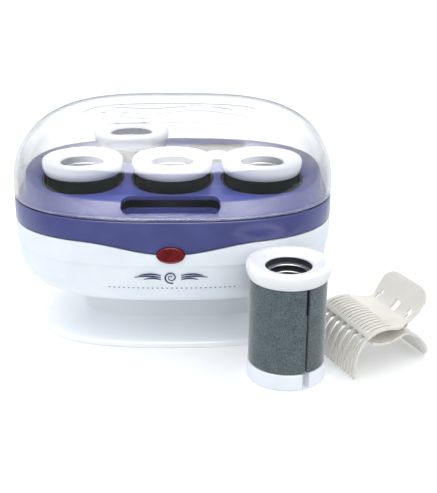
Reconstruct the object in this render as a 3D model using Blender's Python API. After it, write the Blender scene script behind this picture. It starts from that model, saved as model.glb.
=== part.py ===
"""Heated hair roller set: a pedestal case with a clear hinged lid, five rollers and one jaw clip.

Every size below is in millimetres, and add_node turns the finished mesh into metres. The origin is the
middle of the foot's underside, +X is the case's right, -Y its front and +Z is up.
"""

import math

import bmesh
import bpy
from mathutils import Matrix, Vector

MM = 0.001
GAP = 0.3  # clearance between pieces that touch on the real set

# Case plan: a superellipse, the same for housing, band and lid.
CASE_A = 97.6
CASE_B = 70.0
CASE_POWER = 2.59
CASE_SIDES = 40
WALL = 2.4

# Heights of the case, from the table up.
FOOT_TOP = 28.7
HOUSING_BOTTOM = 29.0
BAND_BOTTOM = 73.3
BAND_DIP = 7.0
BAND_DIP_HALF = 52.0
RIM = 87.0
DECK = 95.2
DECK_RISE = 6.0  # how much higher the deck stands behind, under the back wells
RAMP_FRONT = -42.0
RAMP_BACK = 0.0
LID_BOTTOM = 87.5
LID_HEIGHT = 51.9
LID_WALL = 2.2
LID_SQUARING = 0.9  # added to the plan's power from the lid's rim to its top

# Foot: a flat plate that sweeps in to an oval neck.
FOOT_A = 85.7
FOOT_B = 55.1
FOOT_POWER = 2.7
NECK_A = 57.0
NECK_B = 30.0
FOOT_SIDES = 32
PAD_RADIUS = 6.0
PAD_HEIGHT = 1.2
PAD_PLACES = [(-60.0, -33.0), (60.0, -33.0), (-60.0, 33.0), (60.0, 33.0)]
SCREW_PLACES = [(-36.0, -14.0), (36.0, -14.0), (-36.0, 14.0), (36.0, 14.0)]

# Rollers: ring at the top, flocked sleeve, metal core, ring at the base.
ROLLER_LENGTH = 70.4
RING_RIM = 67.8  # the ring's top is a shallow dish; this is the height of its hole's rim
RING_RADIUS = 24.0
RING_HEIGHT = 9.4
RING_HOLE = 13.1
SLEEVE_RADIUS = 22.1
SLEEVE_WALL = 1.8
SLEEVE_SLOT_HALF = 3.2  # half of the sleeve's seam slot, in degrees
BASE_RADIUS = 22.6
BASE_HEIGHT = 9.7
CORE_RADIUS = 12.7
CORE_BORE = 9.4
ROLLER_SIDES = 24

# Wells: three in the front row, two raised ones behind, the right one empty.
FRONT_SEAT = 40.9
BACK_SEAT = 47.1
WELL_RADIUS = 23.3
WELL_WALL = 1.1
WELL_FLOOR = 1.2
POST_RADIUS = 8.2
WELLS = {
    "front_left": (-53.7, -20.5, FRONT_SEAT),
    "front_centre": (0.0, -20.5, FRONT_SEAT),
    "front_right": (53.7, -20.5, FRONT_SEAT),
    "back_left": (-27.4, 24.8, BACK_SEAT),
    "back_right": (27.4, 24.8, BACK_SEAT),
}
SEATED = ["front_left", "front_centre", "front_right", "back_left"]
LOOSE_PLACE = (66.2, -85.4, 0.0)
LOOSE_SLOT_ANGLE = -63.5
SEATED_SLOT_ANGLE = 60.0

# Clip pocket in the sloping front of the tray.
POCKET_LENGTH = 57.0
POCKET_WIDTH = 14.4
POCKET_Y = -55.9
POCKET_FLOOR = 84.4

# Indicator lens on the front.
LENS_Z = 66.9
LENS_HALF_X = 8.0
LENS_HALF_Z = 4.8

# Lid hinge at the back.
HINGE_X = 30.0
HINGE_Y = 73.0
HINGE_Z = 90.6
LUG_HALF_WIDTH = 5.5
LUG_RADIUS = 3.3
EAR_WIDTH = 3.0
PIN_RADIUS = 1.5

# Cord gland, low on the back.
GLAND_X = 0.0
GLAND_Z = 56.0

# Jaw clip: its own frame has +X from the tooth tips to the handles and +Y across the teeth.
CLIP_TIP = (105.2, -96.1)
CLIP_TURN = 23.6
CLIP_HALF_WIDTH = 26.0
CLIP_WALL = 1.6
TOOTH_PITCH = 3.25
TOOTH_WIDTH = 2.4
TEETH_PER_JAW = 8
CLIP_PIN_X = 38.5
CLIP_PIN_Z = 23.6
CLIP_PIN_RADIUS = 1.2
EAR_RADIUS = 2.3
EAR_HALF_WIDTH = 1.0


def material(name, colour, roughness, metallic=0.0, alpha=1.0):
    made = bpy.data.materials.get(name)
    if made:
        return made
    made = bpy.data.materials.new(name)
    made.use_nodes = True
    shader = made.node_tree.nodes["Principled BSDF"]
    shader.inputs["Base Color"].default_value = (*colour, 1.0)
    shader.inputs["Roughness"].default_value = roughness
    shader.inputs["Metallic"].default_value = metallic
    shader.inputs["Alpha"].default_value = alpha
    return made


def white_plastic():
    return material("white_plastic", (0.86, 0.89, 0.93), 0.35)


def purple_plastic():
    return material("purple_plastic", (0.085, 0.09, 0.27), 0.35)


def clear_plastic():
    return material("clear_plastic", (0.9, 0.93, 0.96), 0.08, alpha=0.3)


def red_lens():
    return material("red_lens", (0.3, 0.02, 0.02), 0.15)


def black_plastic():
    return material("black_plastic", (0.03, 0.03, 0.035), 0.5)


def flock():
    return material("flock", (0.1, 0.13, 0.13), 0.95)


def aluminium():
    return material("aluminium", (0.75, 0.76, 0.78), 0.35, 1.0)


def steel():
    return material("steel", (0.6, 0.6, 0.62), 0.3, 1.0)


def rubber():
    return material("rubber", (0.12, 0.12, 0.12), 0.9)


def cream_plastic():
    return material("cream_plastic", (0.75, 0.73, 0.69), 0.4)


def lamp_glass():
    return material("lamp_glass", (0.9, 0.55, 0.35), 0.1)


def new_object(name, mesh):
    obj = bpy.data.objects.new(name, mesh)
    bpy.context.scene.collection.objects.link(obj)
    return obj


def mesh_from(name, bm):
    """A mesh in metres from a bmesh in millimetres, with its faces turned outward."""
    bmesh.ops.recalc_face_normals(bm, faces=bm.faces)
    bmesh.ops.scale(bm, vec=Vector((MM, MM, MM)), verts=bm.verts)
    mesh = bpy.data.meshes.new(name)
    bm.to_mesh(mesh)
    bm.free()
    return mesh


def add_node(name, bm, slot, origin=(0.0, 0.0, 0.0)):
    """A visible piece. origin, in millimetres, is where its own frame sits."""
    bmesh.ops.translate(bm, vec=-Vector(origin), verts=bm.verts)
    mesh = mesh_from(name, bm)
    mesh.shade_smooth()
    mesh.set_sharp_from_angle(angle=math.radians(35))
    obj = new_object(name, mesh)
    obj.location = Vector(origin) * MM
    obj.data.materials.append(slot)
    return obj


def combine(obj, tool_name, bm, operation):
    """Cuts or joins a helper solid, given in the world's millimetres."""
    tool = new_object(f"{obj.name}_{tool_name}", mesh_from(tool_name, bm))
    tool.hide_render = True
    tool.display_type = "WIRE"
    modifier = obj.modifiers.new(tool_name, "BOOLEAN")
    modifier.operation = operation
    modifier.object = tool


def join_rings(bm, rings, ends):
    """Skins rings of equal length.

    ends is 'caps' for flat ends, 'strips' for ends that bend with Y, 'loop' to join last to first.
    """
    made = [[bm.verts.new(point) for point in ring] for ring in rings]
    pairs = list(zip(made, made[1:]))
    if ends == "loop":
        pairs.append((made[-1], made[0]))
    for low, high in pairs:
        for i in range(len(low)):
            j = (i + 1) % len(low)
            bm.faces.new((low[i], low[j], high[j], high[i]))
    if ends == "caps":
        bm.faces.new(made[0])
        bm.faces.new(made[-1])
    if ends == "strips":
        fill_in_strips(bm, made[0])
        fill_in_strips(bm, made[-1])


def fill_in_strips(bm, ring):
    """Closes a ring with flat strips along X. The ring mirrors across X and starts at its +X end."""
    quarter = len(ring) // 4
    for i in range(-quarter, quarter):
        corners = (ring[i], ring[i + 1], ring[2 * quarter - i - 1], ring[2 * quarter - i])
        bm.faces.new(list(dict.fromkeys(corners)))


def lofted(rings, ends="caps"):
    bm = bmesh.new()
    join_rings(bm, rings, ends)
    return bm


def plan_radius(angle, half_x, half_y, power):
    across = (abs(math.cos(angle)) / half_x) ** power
    along = (abs(math.sin(angle)) / half_y) ** power
    return (across + along) ** (-1.0 / power)


def oval(z, half_x, front, back=None, power=CASE_POWER, sides=CASE_SIDES, dip=False):
    """A superellipse ring whose front and back halves can differ in depth."""
    points = []
    for i in range(sides):
        angle = math.tau * i / sides
        half_y = front if math.sin(angle) < 0 or back is None else back
        radius = plan_radius(angle, half_x, half_y, power)
        x = radius * math.cos(angle)
        drop = band_dip(x) if dip and math.sin(angle) < 0 else 0.0
        points.append((x, radius * math.sin(angle), z - drop))
    return points


def band_dip(x):
    """How far the band's lower edge dips towards the indicator lens."""
    if abs(x) >= BAND_DIP_HALF:
        return 0.0
    return BAND_DIP * 0.5 * (1.0 + math.cos(math.pi * x / BAND_DIP_HALF))


def inset_oval(z, inset, dip=False):
    return oval(z, CASE_A - inset, CASE_B - inset, dip=dip)


def circle(radius, z, sides, centre=(0.0, 0.0)):
    points = []
    for i in range(sides):
        angle = math.tau * i / sides
        points.append((centre[0] + radius * math.cos(angle), centre[1] + radius * math.sin(angle), z))
    return points


def turned(profile, sides, ends="caps", place=(0.0, 0.0, 0.0)):
    """A lathed solid from (radius, height) pairs, standing at place."""
    rings = [circle(radius, place[2] + z, sides, place[:2]) for radius, z in profile]
    return lofted(rings, ends)


def prism(outline, low, high):
    """An outline of (x, y) pairs pulled up from low to high."""
    return lofted([[(x, y, low) for x, y in outline], [(x, y, high) for x, y in outline]])


def stand_along_y(bm, x, z, y=0.0):
    """Lays a solid made along +Z down along +Y, through (x, z)."""
    bmesh.ops.rotate(bm, cent=(0, 0, 0), matrix=Matrix.Rotation(math.radians(-90), 3, "X"), verts=bm.verts)
    bmesh.ops.translate(bm, vec=(x, y, z), verts=bm.verts)
    return bm


def lie_along_x(bm, y, z, x=0.0):
    """Lays a solid made along +Z down along +X, through (y, z)."""
    bmesh.ops.rotate(bm, cent=(0, 0, 0), matrix=Matrix.Rotation(math.radians(90), 3, "Y"), verts=bm.verts)
    bmesh.ops.translate(bm, vec=(x, y, z), verts=bm.verts)
    return bm


def stadium(length, width, arc_steps):
    """A slot outline centred on the origin, long in X."""
    radius = width / 2.0
    straight = (length - width) / 2.0
    points = []
    for side, start in ((1, -90.0), (-1, 90.0)):
        for i in range(arc_steps + 1):
            angle = math.radians(start + 180.0 * i / arc_steps)
            points.append((side * straight + radius * math.cos(angle), radius * math.sin(angle)))
    return points


def make_foot():
    plate = [(0.0, 0.04), (0.8, 0.0), (3.2, 0.0), (4.4, 0.08), (5.2, 0.36), (7.4, 0.7), (11.0, 0.9)]
    neck = [(17.0, 0.99), (FOOT_TOP, 1.0)]
    rings = []
    for z, inward in plate + neck:
        half_x = FOOT_A + (NECK_A - FOOT_A) * inward
        half_y = FOOT_B + (NECK_B - FOOT_B) * inward
        rings.append(oval(z, half_x, half_y, power=FOOT_POWER, sides=FOOT_SIDES))
    for z, inset in ((FOOT_TOP, 3.0), (3.2, 3.4)):
        rings.append(oval(z, NECK_A - inset, NECK_B - inset, power=FOOT_POWER, sides=FOOT_SIDES))
    foot = add_node("foot", lofted(rings), white_plastic())
    for number, (x, y) in enumerate(PAD_PLACES, 1):
        profile = [(PAD_RADIUS + GAP, -1.0), (PAD_RADIUS + GAP, PAD_HEIGHT + GAP)]
        recess = turned(profile, 16, place=(x, y, 0.0))
        combine(foot, f"pad_recess_{number}", recess, "DIFFERENCE")
    for number, (x, y) in enumerate(SCREW_PLACES, 1):
        hole = turned([(4.0, -1.0), (4.0, 1.9), (2.0, 1.9), (2.0, 4.0)], 12, place=(x, y, 0.0))
        combine(foot, f"screw_hole_{number}", hole, "DIFFERENCE")


def make_foot_pads():
    for number, (x, y) in enumerate(PAD_PLACES, 1):
        profile = [(PAD_RADIUS - 0.4, 0.0), (PAD_RADIUS, 0.4), (PAD_RADIUS, PAD_HEIGHT)]
        add_node(f"foot_pad_{number}", turned(profile, 16, place=(x, y, 0.0)), rubber())


def make_base_screws():
    for number, (x, y) in enumerate(SCREW_PLACES, 1):
        profile = [(3.5, 0.4), (3.5, 1.5), (1.5, 1.5), (1.5, 14.0), (0.6, 15.5)]
        add_node(f"base_screw_{number}", turned(profile, 12, place=(x, y, 0.0)), steel())


def make_base_housing():
    bowl = [(30.0, 19.5), (33.8, 11.6), (40.0, 5.8), (48.0, 2.2), (60.0, 0.4)]
    rings = [inset_oval(HOUSING_BOTTOM, 24.0)]
    rings += [inset_oval(z, inset) for z, inset in bowl]
    rings += [inset_oval(BAND_BOTTOM - GAP, inset, dip=True) for inset in (0.0, WALL)]
    inner = [(60.0, 2.8), (48.0, 4.7), (40.6, 8.4), (34.8, 14.2), (31.6, 20.8)]
    rings += [inset_oval(z, inset) for z, inset in inner]
    rings.append(inset_oval(31.0, 25.0))
    housing = add_node("base_housing", lofted(rings), white_plastic())
    for number, (x, y) in enumerate(SCREW_PLACES, 1):
        pillar = turned([(4.5, 3.7), (4.5, 30.0)], 12, place=(x, y, 0.0))
        combine(housing, f"pillar_{number}", pillar, "UNION")
        bore = turned([(1.9, 2.0), (1.9, 20.0)], 12, place=(x, y, 0.0))
        combine(housing, f"pillar_bore_{number}", bore, "DIFFERENCE")
    combine(housing, "lens_window", lens_prism(GAP, -74.0, -62.0), "DIFFERENCE")
    gland_hole = stand_along_y(turned([(5.3, 55.0), (5.3, 80.0)], 16), GLAND_X, GLAND_Z)
    combine(housing, "gland_hole", gland_hole, "DIFFERENCE")


def lens_prism(grow, front, back):
    """The indicator window's oval, pulled from front to back along Y."""
    rings = []
    for y in (front, back):
        ring = []
        for i in range(20):
            angle = math.tau * i / 20
            x = (LENS_HALF_X + grow) * math.cos(angle)
            ring.append((x, y, LENS_Z + (LENS_HALF_Z + grow) * math.sin(angle)))
        rings.append(ring)
    return lofted(rings)


def make_cord_gland():
    """A bush in the back wall. Its bore is where a mains lead would pass."""
    profile = [(3.2, 63.0), (5.0, 63.0), (5.0, 69.9), (7.0, 69.9), (6.4, 71.7), (3.2, 71.7)]
    gland = stand_along_y(turned(profile, 16, "loop"), GLAND_X, GLAND_Z)
    add_node("cord_gland", gland, black_plastic())


def on_deck(ring):
    """The same ring, lifted where the deck climbs from its front to its back."""
    lifted = []
    for x, y, z in ring:
        climb = min(1.0, max(0.0, (y - RAMP_FRONT) / (RAMP_BACK - RAMP_FRONT)))
        lifted.append((x, y, z + DECK_RISE * climb * climb * (3.0 - 2.0 * climb)))
    return lifted


def make_top_tray():
    """The coloured moulding: outer band, rim, sloping front and two-level deck with five holes."""
    rings = [inset_oval(BAND_BOTTOM, WALL, dip=True), inset_oval(BAND_BOTTOM, 0.0, dip=True)]
    rings += [inset_oval(84.6, 0.0), inset_oval(86.4, 0.3), inset_oval(RIM, 1.0), inset_oval(RIM, 3.3)]
    rings += [oval(91.0, 92.4, 62.2, 66.2)]
    rings += [on_deck(oval(94.0, 91.2, 58.6, 65.0)), on_deck(oval(DECK, 89.5, 57.2, 63.4))]
    under = [on_deck(oval(92.8, 88.3, 55.9, 62.2)), oval(88.4, 90.0, 60.6, 63.8)]
    under += [oval(84.4, 90.4, 64.2, 64.2), inset_oval(84.4, WALL)]
    tray = add_node("top_tray", lofted(under + rings, "strips"), purple_plastic())
    for name, (x, y, seat) in WELLS.items():
        radius = WELL_RADIUS + WELL_WALL + GAP
        hole = turned([(radius, 80.0), (radius, 104.0)], ROLLER_SIDES, place=(x, y, 0.0))
        combine(tray, f"hole_{name}", hole, "DIFFERENCE")
    tub = stadium(POCKET_LENGTH + 4.0, POCKET_WIDTH + 4.0, 6)
    tub = [(x, POCKET_Y + y) for x, y in tub]
    combine(tray, "pocket_tub", prism(tub, POCKET_FLOOR - 2.0, 90.8), "UNION")
    pocket = [(x, POCKET_Y + y) for x, y in stadium(POCKET_LENGTH, POCKET_WIDTH, 6)]
    combine(tray, "pocket", prism(pocket, POCKET_FLOOR, 100.0), "DIFFERENCE")
    combine(tray, "lens_window", lens_prism(GAP, -74.0, -62.0), "DIFFERENCE")
    for side in (-1, 1):
        combine(tray, f"lug_{side}", hinge_lug(side), "UNION")
        bore = lie_along_x(turned([(1.9, -12.0), (1.9, 12.0)], 12), HINGE_Y, HINGE_Z, side * HINGE_X)
        combine(tray, f"lug_bore_{side}", bore, "DIFFERENCE")


def hinge_lug(side):
    """A round-topped lug behind the rim, as an outline in the YZ plane pulled along X."""
    outline = []
    for i in range(9):
        angle = math.radians(180.0 * i / 8)
        outline.append((HINGE_Y + LUG_RADIUS * math.cos(angle), HINGE_Z + LUG_RADIUS * math.sin(angle)))
    outline += [(HINGE_Y - LUG_RADIUS, 86.2), (67.0, 86.2), (67.0, 78.0), (69.5, 78.0)]
    outline += [(HINGE_Y + LUG_RADIUS, 84.0)]
    centre = side * HINGE_X
    low, high = centre - LUG_HALF_WIDTH, centre + LUG_HALF_WIDTH
    return lofted([[(x, y, z) for y, z in outline] for x in (low, high)])


def make_well(name, x, y, seat):
    outer = WELL_RADIUS + WELL_WALL
    post_hole = POST_RADIUS + 1.3
    floor = seat - GAP
    profile = [(WELL_RADIUS, floor), (post_hole, floor), (post_hole, floor - WELL_FLOOR)]
    profile += [(outer, floor - WELL_FLOOR), (outer, DECK), (WELL_RADIUS, DECK)]
    rings = [circle(radius, z, ROLLER_SIDES, (x, y)) for radius, z in profile]
    rings[-2:] = [on_deck(ring) for ring in rings[-2:]]
    add_node(f"well_liner_{name}", lofted(rings, "loop"), black_plastic())
    make_heat_post(name, x, y, seat)


def make_heat_post(name, x, y, seat):
    """A hollow metal post with a foot flange under the well's floor."""
    top = seat + 54.0
    plate = 38.0
    under = FRONT_SEAT - 2.0 * GAP - WELL_FLOOR
    profile = [
        (POST_RADIUS - 1.5, plate),
        (POST_RADIUS + 1.2, plate),
        (POST_RADIUS + 1.2, under),
        (POST_RADIUS, under),
        (POST_RADIUS, top - 2.0),
        (POST_RADIUS - 2.0, top),
    ]
    inner = [(POST_RADIUS - 1.5, top - 3.0)]
    rings = [circle(radius, z, 14, (x, y)) for radius, z in inner + profile]
    add_node(f"heat_post_{name}", lofted(rings), aluminium())


def make_heater():
    plate = [oval(z, 80.0, 50.0, power=3.0, sides=28) for z in (36.2, 37.7)]
    add_node("heater_plate", lofted(plate), aluminium())
    make_heating_element()
    thermostat = [(6.5, 31.5), (6.5, 34.0), (8.0, 34.0), (8.0, 35.9)]
    add_node("thermostat", turned(thermostat, 16, place=(0.0, -12.0, 0.0)), black_plastic())
    fuse = [(0.6, -9.0), (0.6, -5.0), (1.6, -4.4), (1.6, 4.4), (0.6, 5.0), (0.6, 9.0)]
    add_node("thermal_fuse", lie_along_x(turned(fuse, 10), 12.0, 33.9), steel())


def make_heating_element():
    """A sheathed rod bent into one oval loop under the plate."""
    points = oval(34.2, 56.0, 33.0, power=3.0, sides=24)
    curve = bpy.data.curves.new("heating_element", "CURVE")
    curve.dimensions = "3D"
    curve.bevel_depth = 1.6 * MM
    curve.bevel_resolution = 1
    spline = curve.splines.new("POLY")
    spline.points.add(len(points) - 1)
    for target, point in zip(spline.points, points):
        target.co = (*(Vector(point) * MM), 1.0)
    spline.use_cyclic_u = True
    curve.materials.append(steel())
    new_object("heating_element", curve)


def make_indicator():
    rings = []
    for y, shrink in ((-64.6, 1.4), (-64.6, -1.2), (-67.2, -1.2), (-67.2, 0.0), (-70.6, 0.0), (-71.3, 0.9)):
        ring = []
        for i in range(20):
            angle = math.tau * i / 20
            x = (LENS_HALF_X - shrink) * math.cos(angle)
            ring.append((x, y, LENS_Z + (LENS_HALF_Z - shrink) * math.sin(angle)))
        rings.append(ring)
    add_node("indicator_lens", lofted(rings), red_lens())
    bulb = [(1.2, -64.0), (2.4, -62.6), (2.4, -53.5), (1.6, -52.0)]
    add_node("indicator_lamp", stand_along_y(turned(bulb, 12), 0.0, LENS_Z), lamp_glass())


def lid_ring(z, wall):
    """One ring of the dome. The plan grows squarer towards the top."""
    rise = max(0.0, (z - LID_BOTTOM) / (LID_HEIGHT - wall))
    scale = (1.0 - rise**3.0) ** (1.0 / 3.0)
    power = CASE_POWER + LID_SQUARING * rise**2
    return oval(z, (CASE_A - wall) * scale, (CASE_B - wall) * scale, power=power)


def make_lid():
    steps = [0.0, 0.35, 0.6, 0.8, 0.93, 0.985, 0.999]
    outer = [lid_ring(LID_BOTTOM + step * LID_HEIGHT, 0.0) for step in steps]
    inner = [lid_ring(LID_BOTTOM + step * (LID_HEIGHT - LID_WALL), LID_WALL) for step in steps]
    pivot = (0.0, HINGE_Y, HINGE_Z)
    lid = add_node("lid", lofted(inner[::-1] + outer), clear_plastic(), pivot)
    for side in (-1, 1):
        for end in (-1, 1):
            centre = side * HINGE_X + end * (LUG_HALF_WIDTH + GAP + 0.2 + EAR_WIDTH / 2.0)
            name = f"ear_{side}_{end}"
            combine(lid, name, lid_ear(centre), "UNION")
        bore = lie_along_x(turned([(1.9, -12.0), (1.9, 12.0)], 12), HINGE_Y, HINGE_Z, side * HINGE_X)
        combine(lid, f"ear_bore_{side}", bore, "DIFFERENCE")
        pin = [(PIN_RADIUS - 0.4, -9.2), (PIN_RADIUS, -8.8), (PIN_RADIUS, 8.8), (PIN_RADIUS - 0.4, 9.2)]
        pin = lie_along_x(turned(pin, 12), HINGE_Y, HINGE_Z, side * HINGE_X)
        add_node(f"hinge_pin_{'left' if side < 0 else 'right'}", pin, steel())


def lid_ear(centre):
    """A knuckle beside the lug, as an outline in the YZ plane pulled along X."""
    outline = []
    for i in range(9):
        angle = math.radians(-90.0 + 180.0 * i / 8)
        outline.append((HINGE_Y + 2.9 * math.cos(angle), HINGE_Z + 2.9 * math.sin(angle)))
    outline += [(67.4, HINGE_Z + 2.9), (67.4, HINGE_Z - 2.6), (HINGE_Y - 2.0, HINGE_Z - 2.9)]
    low, high = centre - EAR_WIDTH / 2.0, centre + EAR_WIDTH / 2.0
    return lofted([[(x, y, z) for y, z in outline] for x in (low, high)])


def make_roller(name, place, slot_angle):
    """Four pieces that share one axis. place is the middle of the roller's underside."""
    holder = bpy.data.objects.new(f"roller_{name}", None)
    bpy.context.scene.collection.objects.link(holder)
    holder.location = Vector(place) * MM
    holder.rotation_euler.z = math.radians(slot_angle)
    pieces = (
        ("ring", ring_shape, white_plastic),
        ("sleeve", sleeve_shape, flock),
        ("core", core_shape, aluminium),
        ("base", base_shape, white_plastic),
    )
    for piece, shape, slot in pieces:
        node = shared_piece(f"roller_{name}_{piece}", f"roller_{piece}", shape, slot)
        node.parent = holder


def shared_piece(name, mesh_name, shape, slot):
    mesh = bpy.data.meshes.get(mesh_name)
    if mesh is None:
        mesh = mesh_from(mesh_name, shape())
        mesh.shade_smooth()
        mesh.set_sharp_from_angle(angle=math.radians(35))
        mesh.materials.append(slot())
    return new_object(name, mesh)


def ring_shape():
    low = ROLLER_LENGTH - RING_HEIGHT
    profile = [
        (RING_HOLE, low),
        (RING_RADIUS - 1.8, low),
        (RING_RADIUS - 0.4, low + 3.4),
        (RING_RADIUS, low + 6.2),
        (RING_RADIUS - 0.5, low + 8.2),
        (RING_RADIUS - 2.6, ROLLER_LENGTH),
        (RING_HOLE + 3.4, RING_RIM + 1.1),
        (RING_HOLE + 0.8, RING_RIM),
        (RING_HOLE, RING_RIM - 1.2),
    ]
    return turned(profile, ROLLER_SIDES, "loop")


def sleeve_shape():
    """The barrel, split by a seam slot that faces the roller's own +X."""
    low = BASE_HEIGHT + GAP
    high = ROLLER_LENGTH - RING_HEIGHT - GAP
    start = math.radians(SLEEVE_SLOT_HALF)
    step = (math.tau - 2.0 * start) / ROLLER_SIDES
    angles = [start + step * i for i in range(ROLLER_SIDES + 1)]
    outer = [(SLEEVE_RADIUS * math.cos(a), SLEEVE_RADIUS * math.sin(a)) for a in angles]
    inner_radius = SLEEVE_RADIUS - SLEEVE_WALL
    inner = [(inner_radius * math.cos(a), inner_radius * math.sin(a)) for a in angles[::-1]]
    return prism(outer + inner, low, high)


def core_shape():
    """The metal heat core: a tube with a stepped mouth."""
    top = RING_RIM - 4.6
    profile = [
        (CORE_BORE, 0.4),
        (CORE_RADIUS, 0.4),
        (CORE_RADIUS, top),
        (CORE_BORE + 1.4, top),
        (CORE_BORE + 1.4, top - 3.6),
        (CORE_BORE, top - 3.6),
    ]
    return turned(profile, 16, "loop")


def base_shape():
    profile = [
        (CORE_RADIUS + GAP, 0.0),
        (BASE_RADIUS - 0.6, 0.0),
        (BASE_RADIUS, 0.8),
        (BASE_RADIUS, BASE_HEIGHT),
        (CORE_RADIUS + GAP, BASE_HEIGHT),
    ]
    return turned(profile, ROLLER_SIDES, "loop")


def clip_point(x, y, z):
    """A point of the clip's own frame, in the world's millimetres."""
    turn = math.radians(CLIP_TURN)
    across, along = math.cos(turn), math.sin(turn)
    return (CLIP_TIP[0] + x * across - y * along, CLIP_TIP[1] + x * along + y * across, z)


def move_to_clip(bm):
    turn = Matrix.Rotation(math.radians(CLIP_TURN), 3, "Z")
    bmesh.ops.rotate(bm, cent=(0, 0, 0), matrix=turn, verts=bm.verts)
    bmesh.ops.translate(bm, vec=(*CLIP_TIP, 0.0), verts=bm.verts)
    return bm


def tooth_lines(first):
    """Edges across the jaw: both sides of each tooth, and the far or near edge of the plate."""
    lines = []
    for tooth in range(TEETH_PER_JAW):
        start = (2 * tooth + first) * TOOTH_PITCH + (TOOTH_PITCH - TOOTH_WIDTH) / 2.0
        lines += [start, start + TOOTH_WIDTH]
    edge = (TOOTH_PITCH - TOOTH_WIDTH) / 2.0
    return [edge] + lines if first else lines + [2.0 * CLIP_HALF_WIDTH - edge]


def jaw_sheet(plate, teeth, first):
    """The jaw's middle surface: a plate of (x, z, half width) stations, then separate teeth."""
    lines = tooth_lines(first)
    stations = plate + [(x, z, CLIP_HALF_WIDTH) for x, z in teeth]
    bm = bmesh.new()
    grid = []
    for x, z, half in stations:
        row = []
        for line in lines:
            y = CLIP_HALF_WIDTH + (line - CLIP_HALF_WIDTH) * half / CLIP_HALF_WIDTH
            row.append(bm.verts.new((x, y, z)))
        grid.append(row)
    for i, (near, far) in enumerate(zip(grid, grid[1:])):
        for j in range(len(lines) - 1):
            if i < len(plate) - 1 or j % 2 == first:
                bm.faces.new((near[j], near[j + 1], far[j + 1], far[j]))
    loose = [vertex for vertex in bm.verts if not vertex.link_faces]
    bmesh.ops.delete(bm, geom=loose, context="VERTS")
    return bm


def jaw_ear(y, lean, reach):
    """A pin ear from the hinge line to the plate. lean is the stem's direction in degrees."""
    outline = []
    for i in range(9):
        angle = math.radians(lean + 90.0 + 180.0 * i / 8)
        outline.append((EAR_RADIUS * math.cos(angle), EAR_RADIUS * math.sin(angle)))
    stem = Vector((math.cos(math.radians(lean)), math.sin(math.radians(lean)))) * reach
    for x, z in (outline[-1], outline[0]):
        outline.append((stem.x + x, stem.y + z))
    rings = []
    for across in (y - EAR_HALF_WIDTH, y + EAR_HALF_WIDTH):
        rings.append([(CLIP_PIN_X + x, across, CLIP_PIN_Z + z) for x, z in outline])
    return move_to_clip(lofted(rings))


def make_jaw(name, plate, teeth, first, ears, lean, reach):
    sheet = move_to_clip(jaw_sheet(plate, teeth, first))
    pivot = clip_point(CLIP_PIN_X, CLIP_HALF_WIDTH, CLIP_PIN_Z)
    jaw = add_node(name, sheet, cream_plastic(), pivot)
    solid = jaw.modifiers.new("wall", "SOLIDIFY")
    solid.thickness = CLIP_WALL * MM
    solid.offset = 0.0
    solid.use_even_offset = True
    for number, y in enumerate(ears, 1):
        combine(jaw, f"ear_{number}", jaw_ear(y, lean, reach), "UNION")
    bore = hinge_line_rod(CLIP_PIN_RADIUS + GAP, 4.0, 48.0)
    combine(jaw, "pin_bore", bore, "DIFFERENCE")


def hinge_line_rod(radius, start, stop):
    """A round solid along the clip's hinge line."""
    bm = stand_along_y(turned([(radius, start), (radius, stop)], 12), CLIP_PIN_X, CLIP_PIN_Z)
    return move_to_clip(bm)


def make_clip():
    upper_plate = [
        (51.5, 43.8, 12.0),
        (50.0, 41.5, 18.5),
        (47.5, 38.0, 21.5),
        (44.0, 33.0, 21.5),
        (40.5, 28.8, 20.0),
        (37.0, 26.6, 20.5),
        (32.0, 26.3, 23.5),
        (27.0, 27.4, 25.5),
        (20.0, 28.7, CLIP_HALF_WIDTH),
        (14.5, 28.3, CLIP_HALF_WIDTH),
        (9.5, 26.2, CLIP_HALF_WIDTH),
        (7.0, 24.3, CLIP_HALF_WIDTH),
    ]
    upper_teeth = [(4.2, 20.3), (1.7, 15.4), (0.3, 9.7), (0.1, 0.5)]
    lower_plate = [
        (55.4, 0.6, 16.0),
        (54.0, 5.0, 19.0),
        (51.6, 9.6, 20.0),
        (47.1, 14.9, 20.0),
        (42.0, 18.4, 20.0),
        (36.5, 20.4, 21.0),
        (30.0, 20.6, 24.0),
        (22.8, 19.5, CLIP_HALF_WIDTH),
        (16.7, 19.5, CLIP_HALF_WIDTH),
        (12.4, 20.9, CLIP_HALF_WIDTH),
    ]
    lower_teeth = [(8.4, 21.0), (5.4, 20.0), (2.0, 15.0), (0.4, 9.4), (0.1, 0.0)]
    make_jaw("clip_upper_jaw", upper_plate, upper_teeth, 0, (11.0, 41.0), 122.0, 3.3)
    make_jaw("clip_lower_jaw", lower_plate, lower_teeth, 1, (14.0, 38.0), -110.0, 3.7)
    add_node("clip_pin", hinge_line_rod(CLIP_PIN_RADIUS, 9.3, 42.7), steel())
    make_clip_spring()


def make_clip_spring():
    """A coil round the pin, between the inner ears."""
    turns, per_turn, mean_radius = 5, 8, 1.95
    start, stop = 20.0, 32.0
    curve = bpy.data.curves.new("clip_spring", "CURVE")
    curve.dimensions = "3D"
    curve.bevel_depth = 0.3 * MM
    curve.bevel_resolution = 0
    curve.use_fill_caps = True
    spline = curve.splines.new("POLY")
    count = turns * per_turn
    spline.points.add(count)
    for i, target in enumerate(spline.points):
        angle = math.tau * i / per_turn
        x = CLIP_PIN_X + mean_radius * math.cos(angle)
        z = CLIP_PIN_Z + mean_radius * math.sin(angle)
        y = start + (stop - start) * i / count
        target.co = (*(Vector(clip_point(x, y, z)) * MM), 1.0)
    curve.materials.append(steel())
    new_object("clip_spring", curve)


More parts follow.
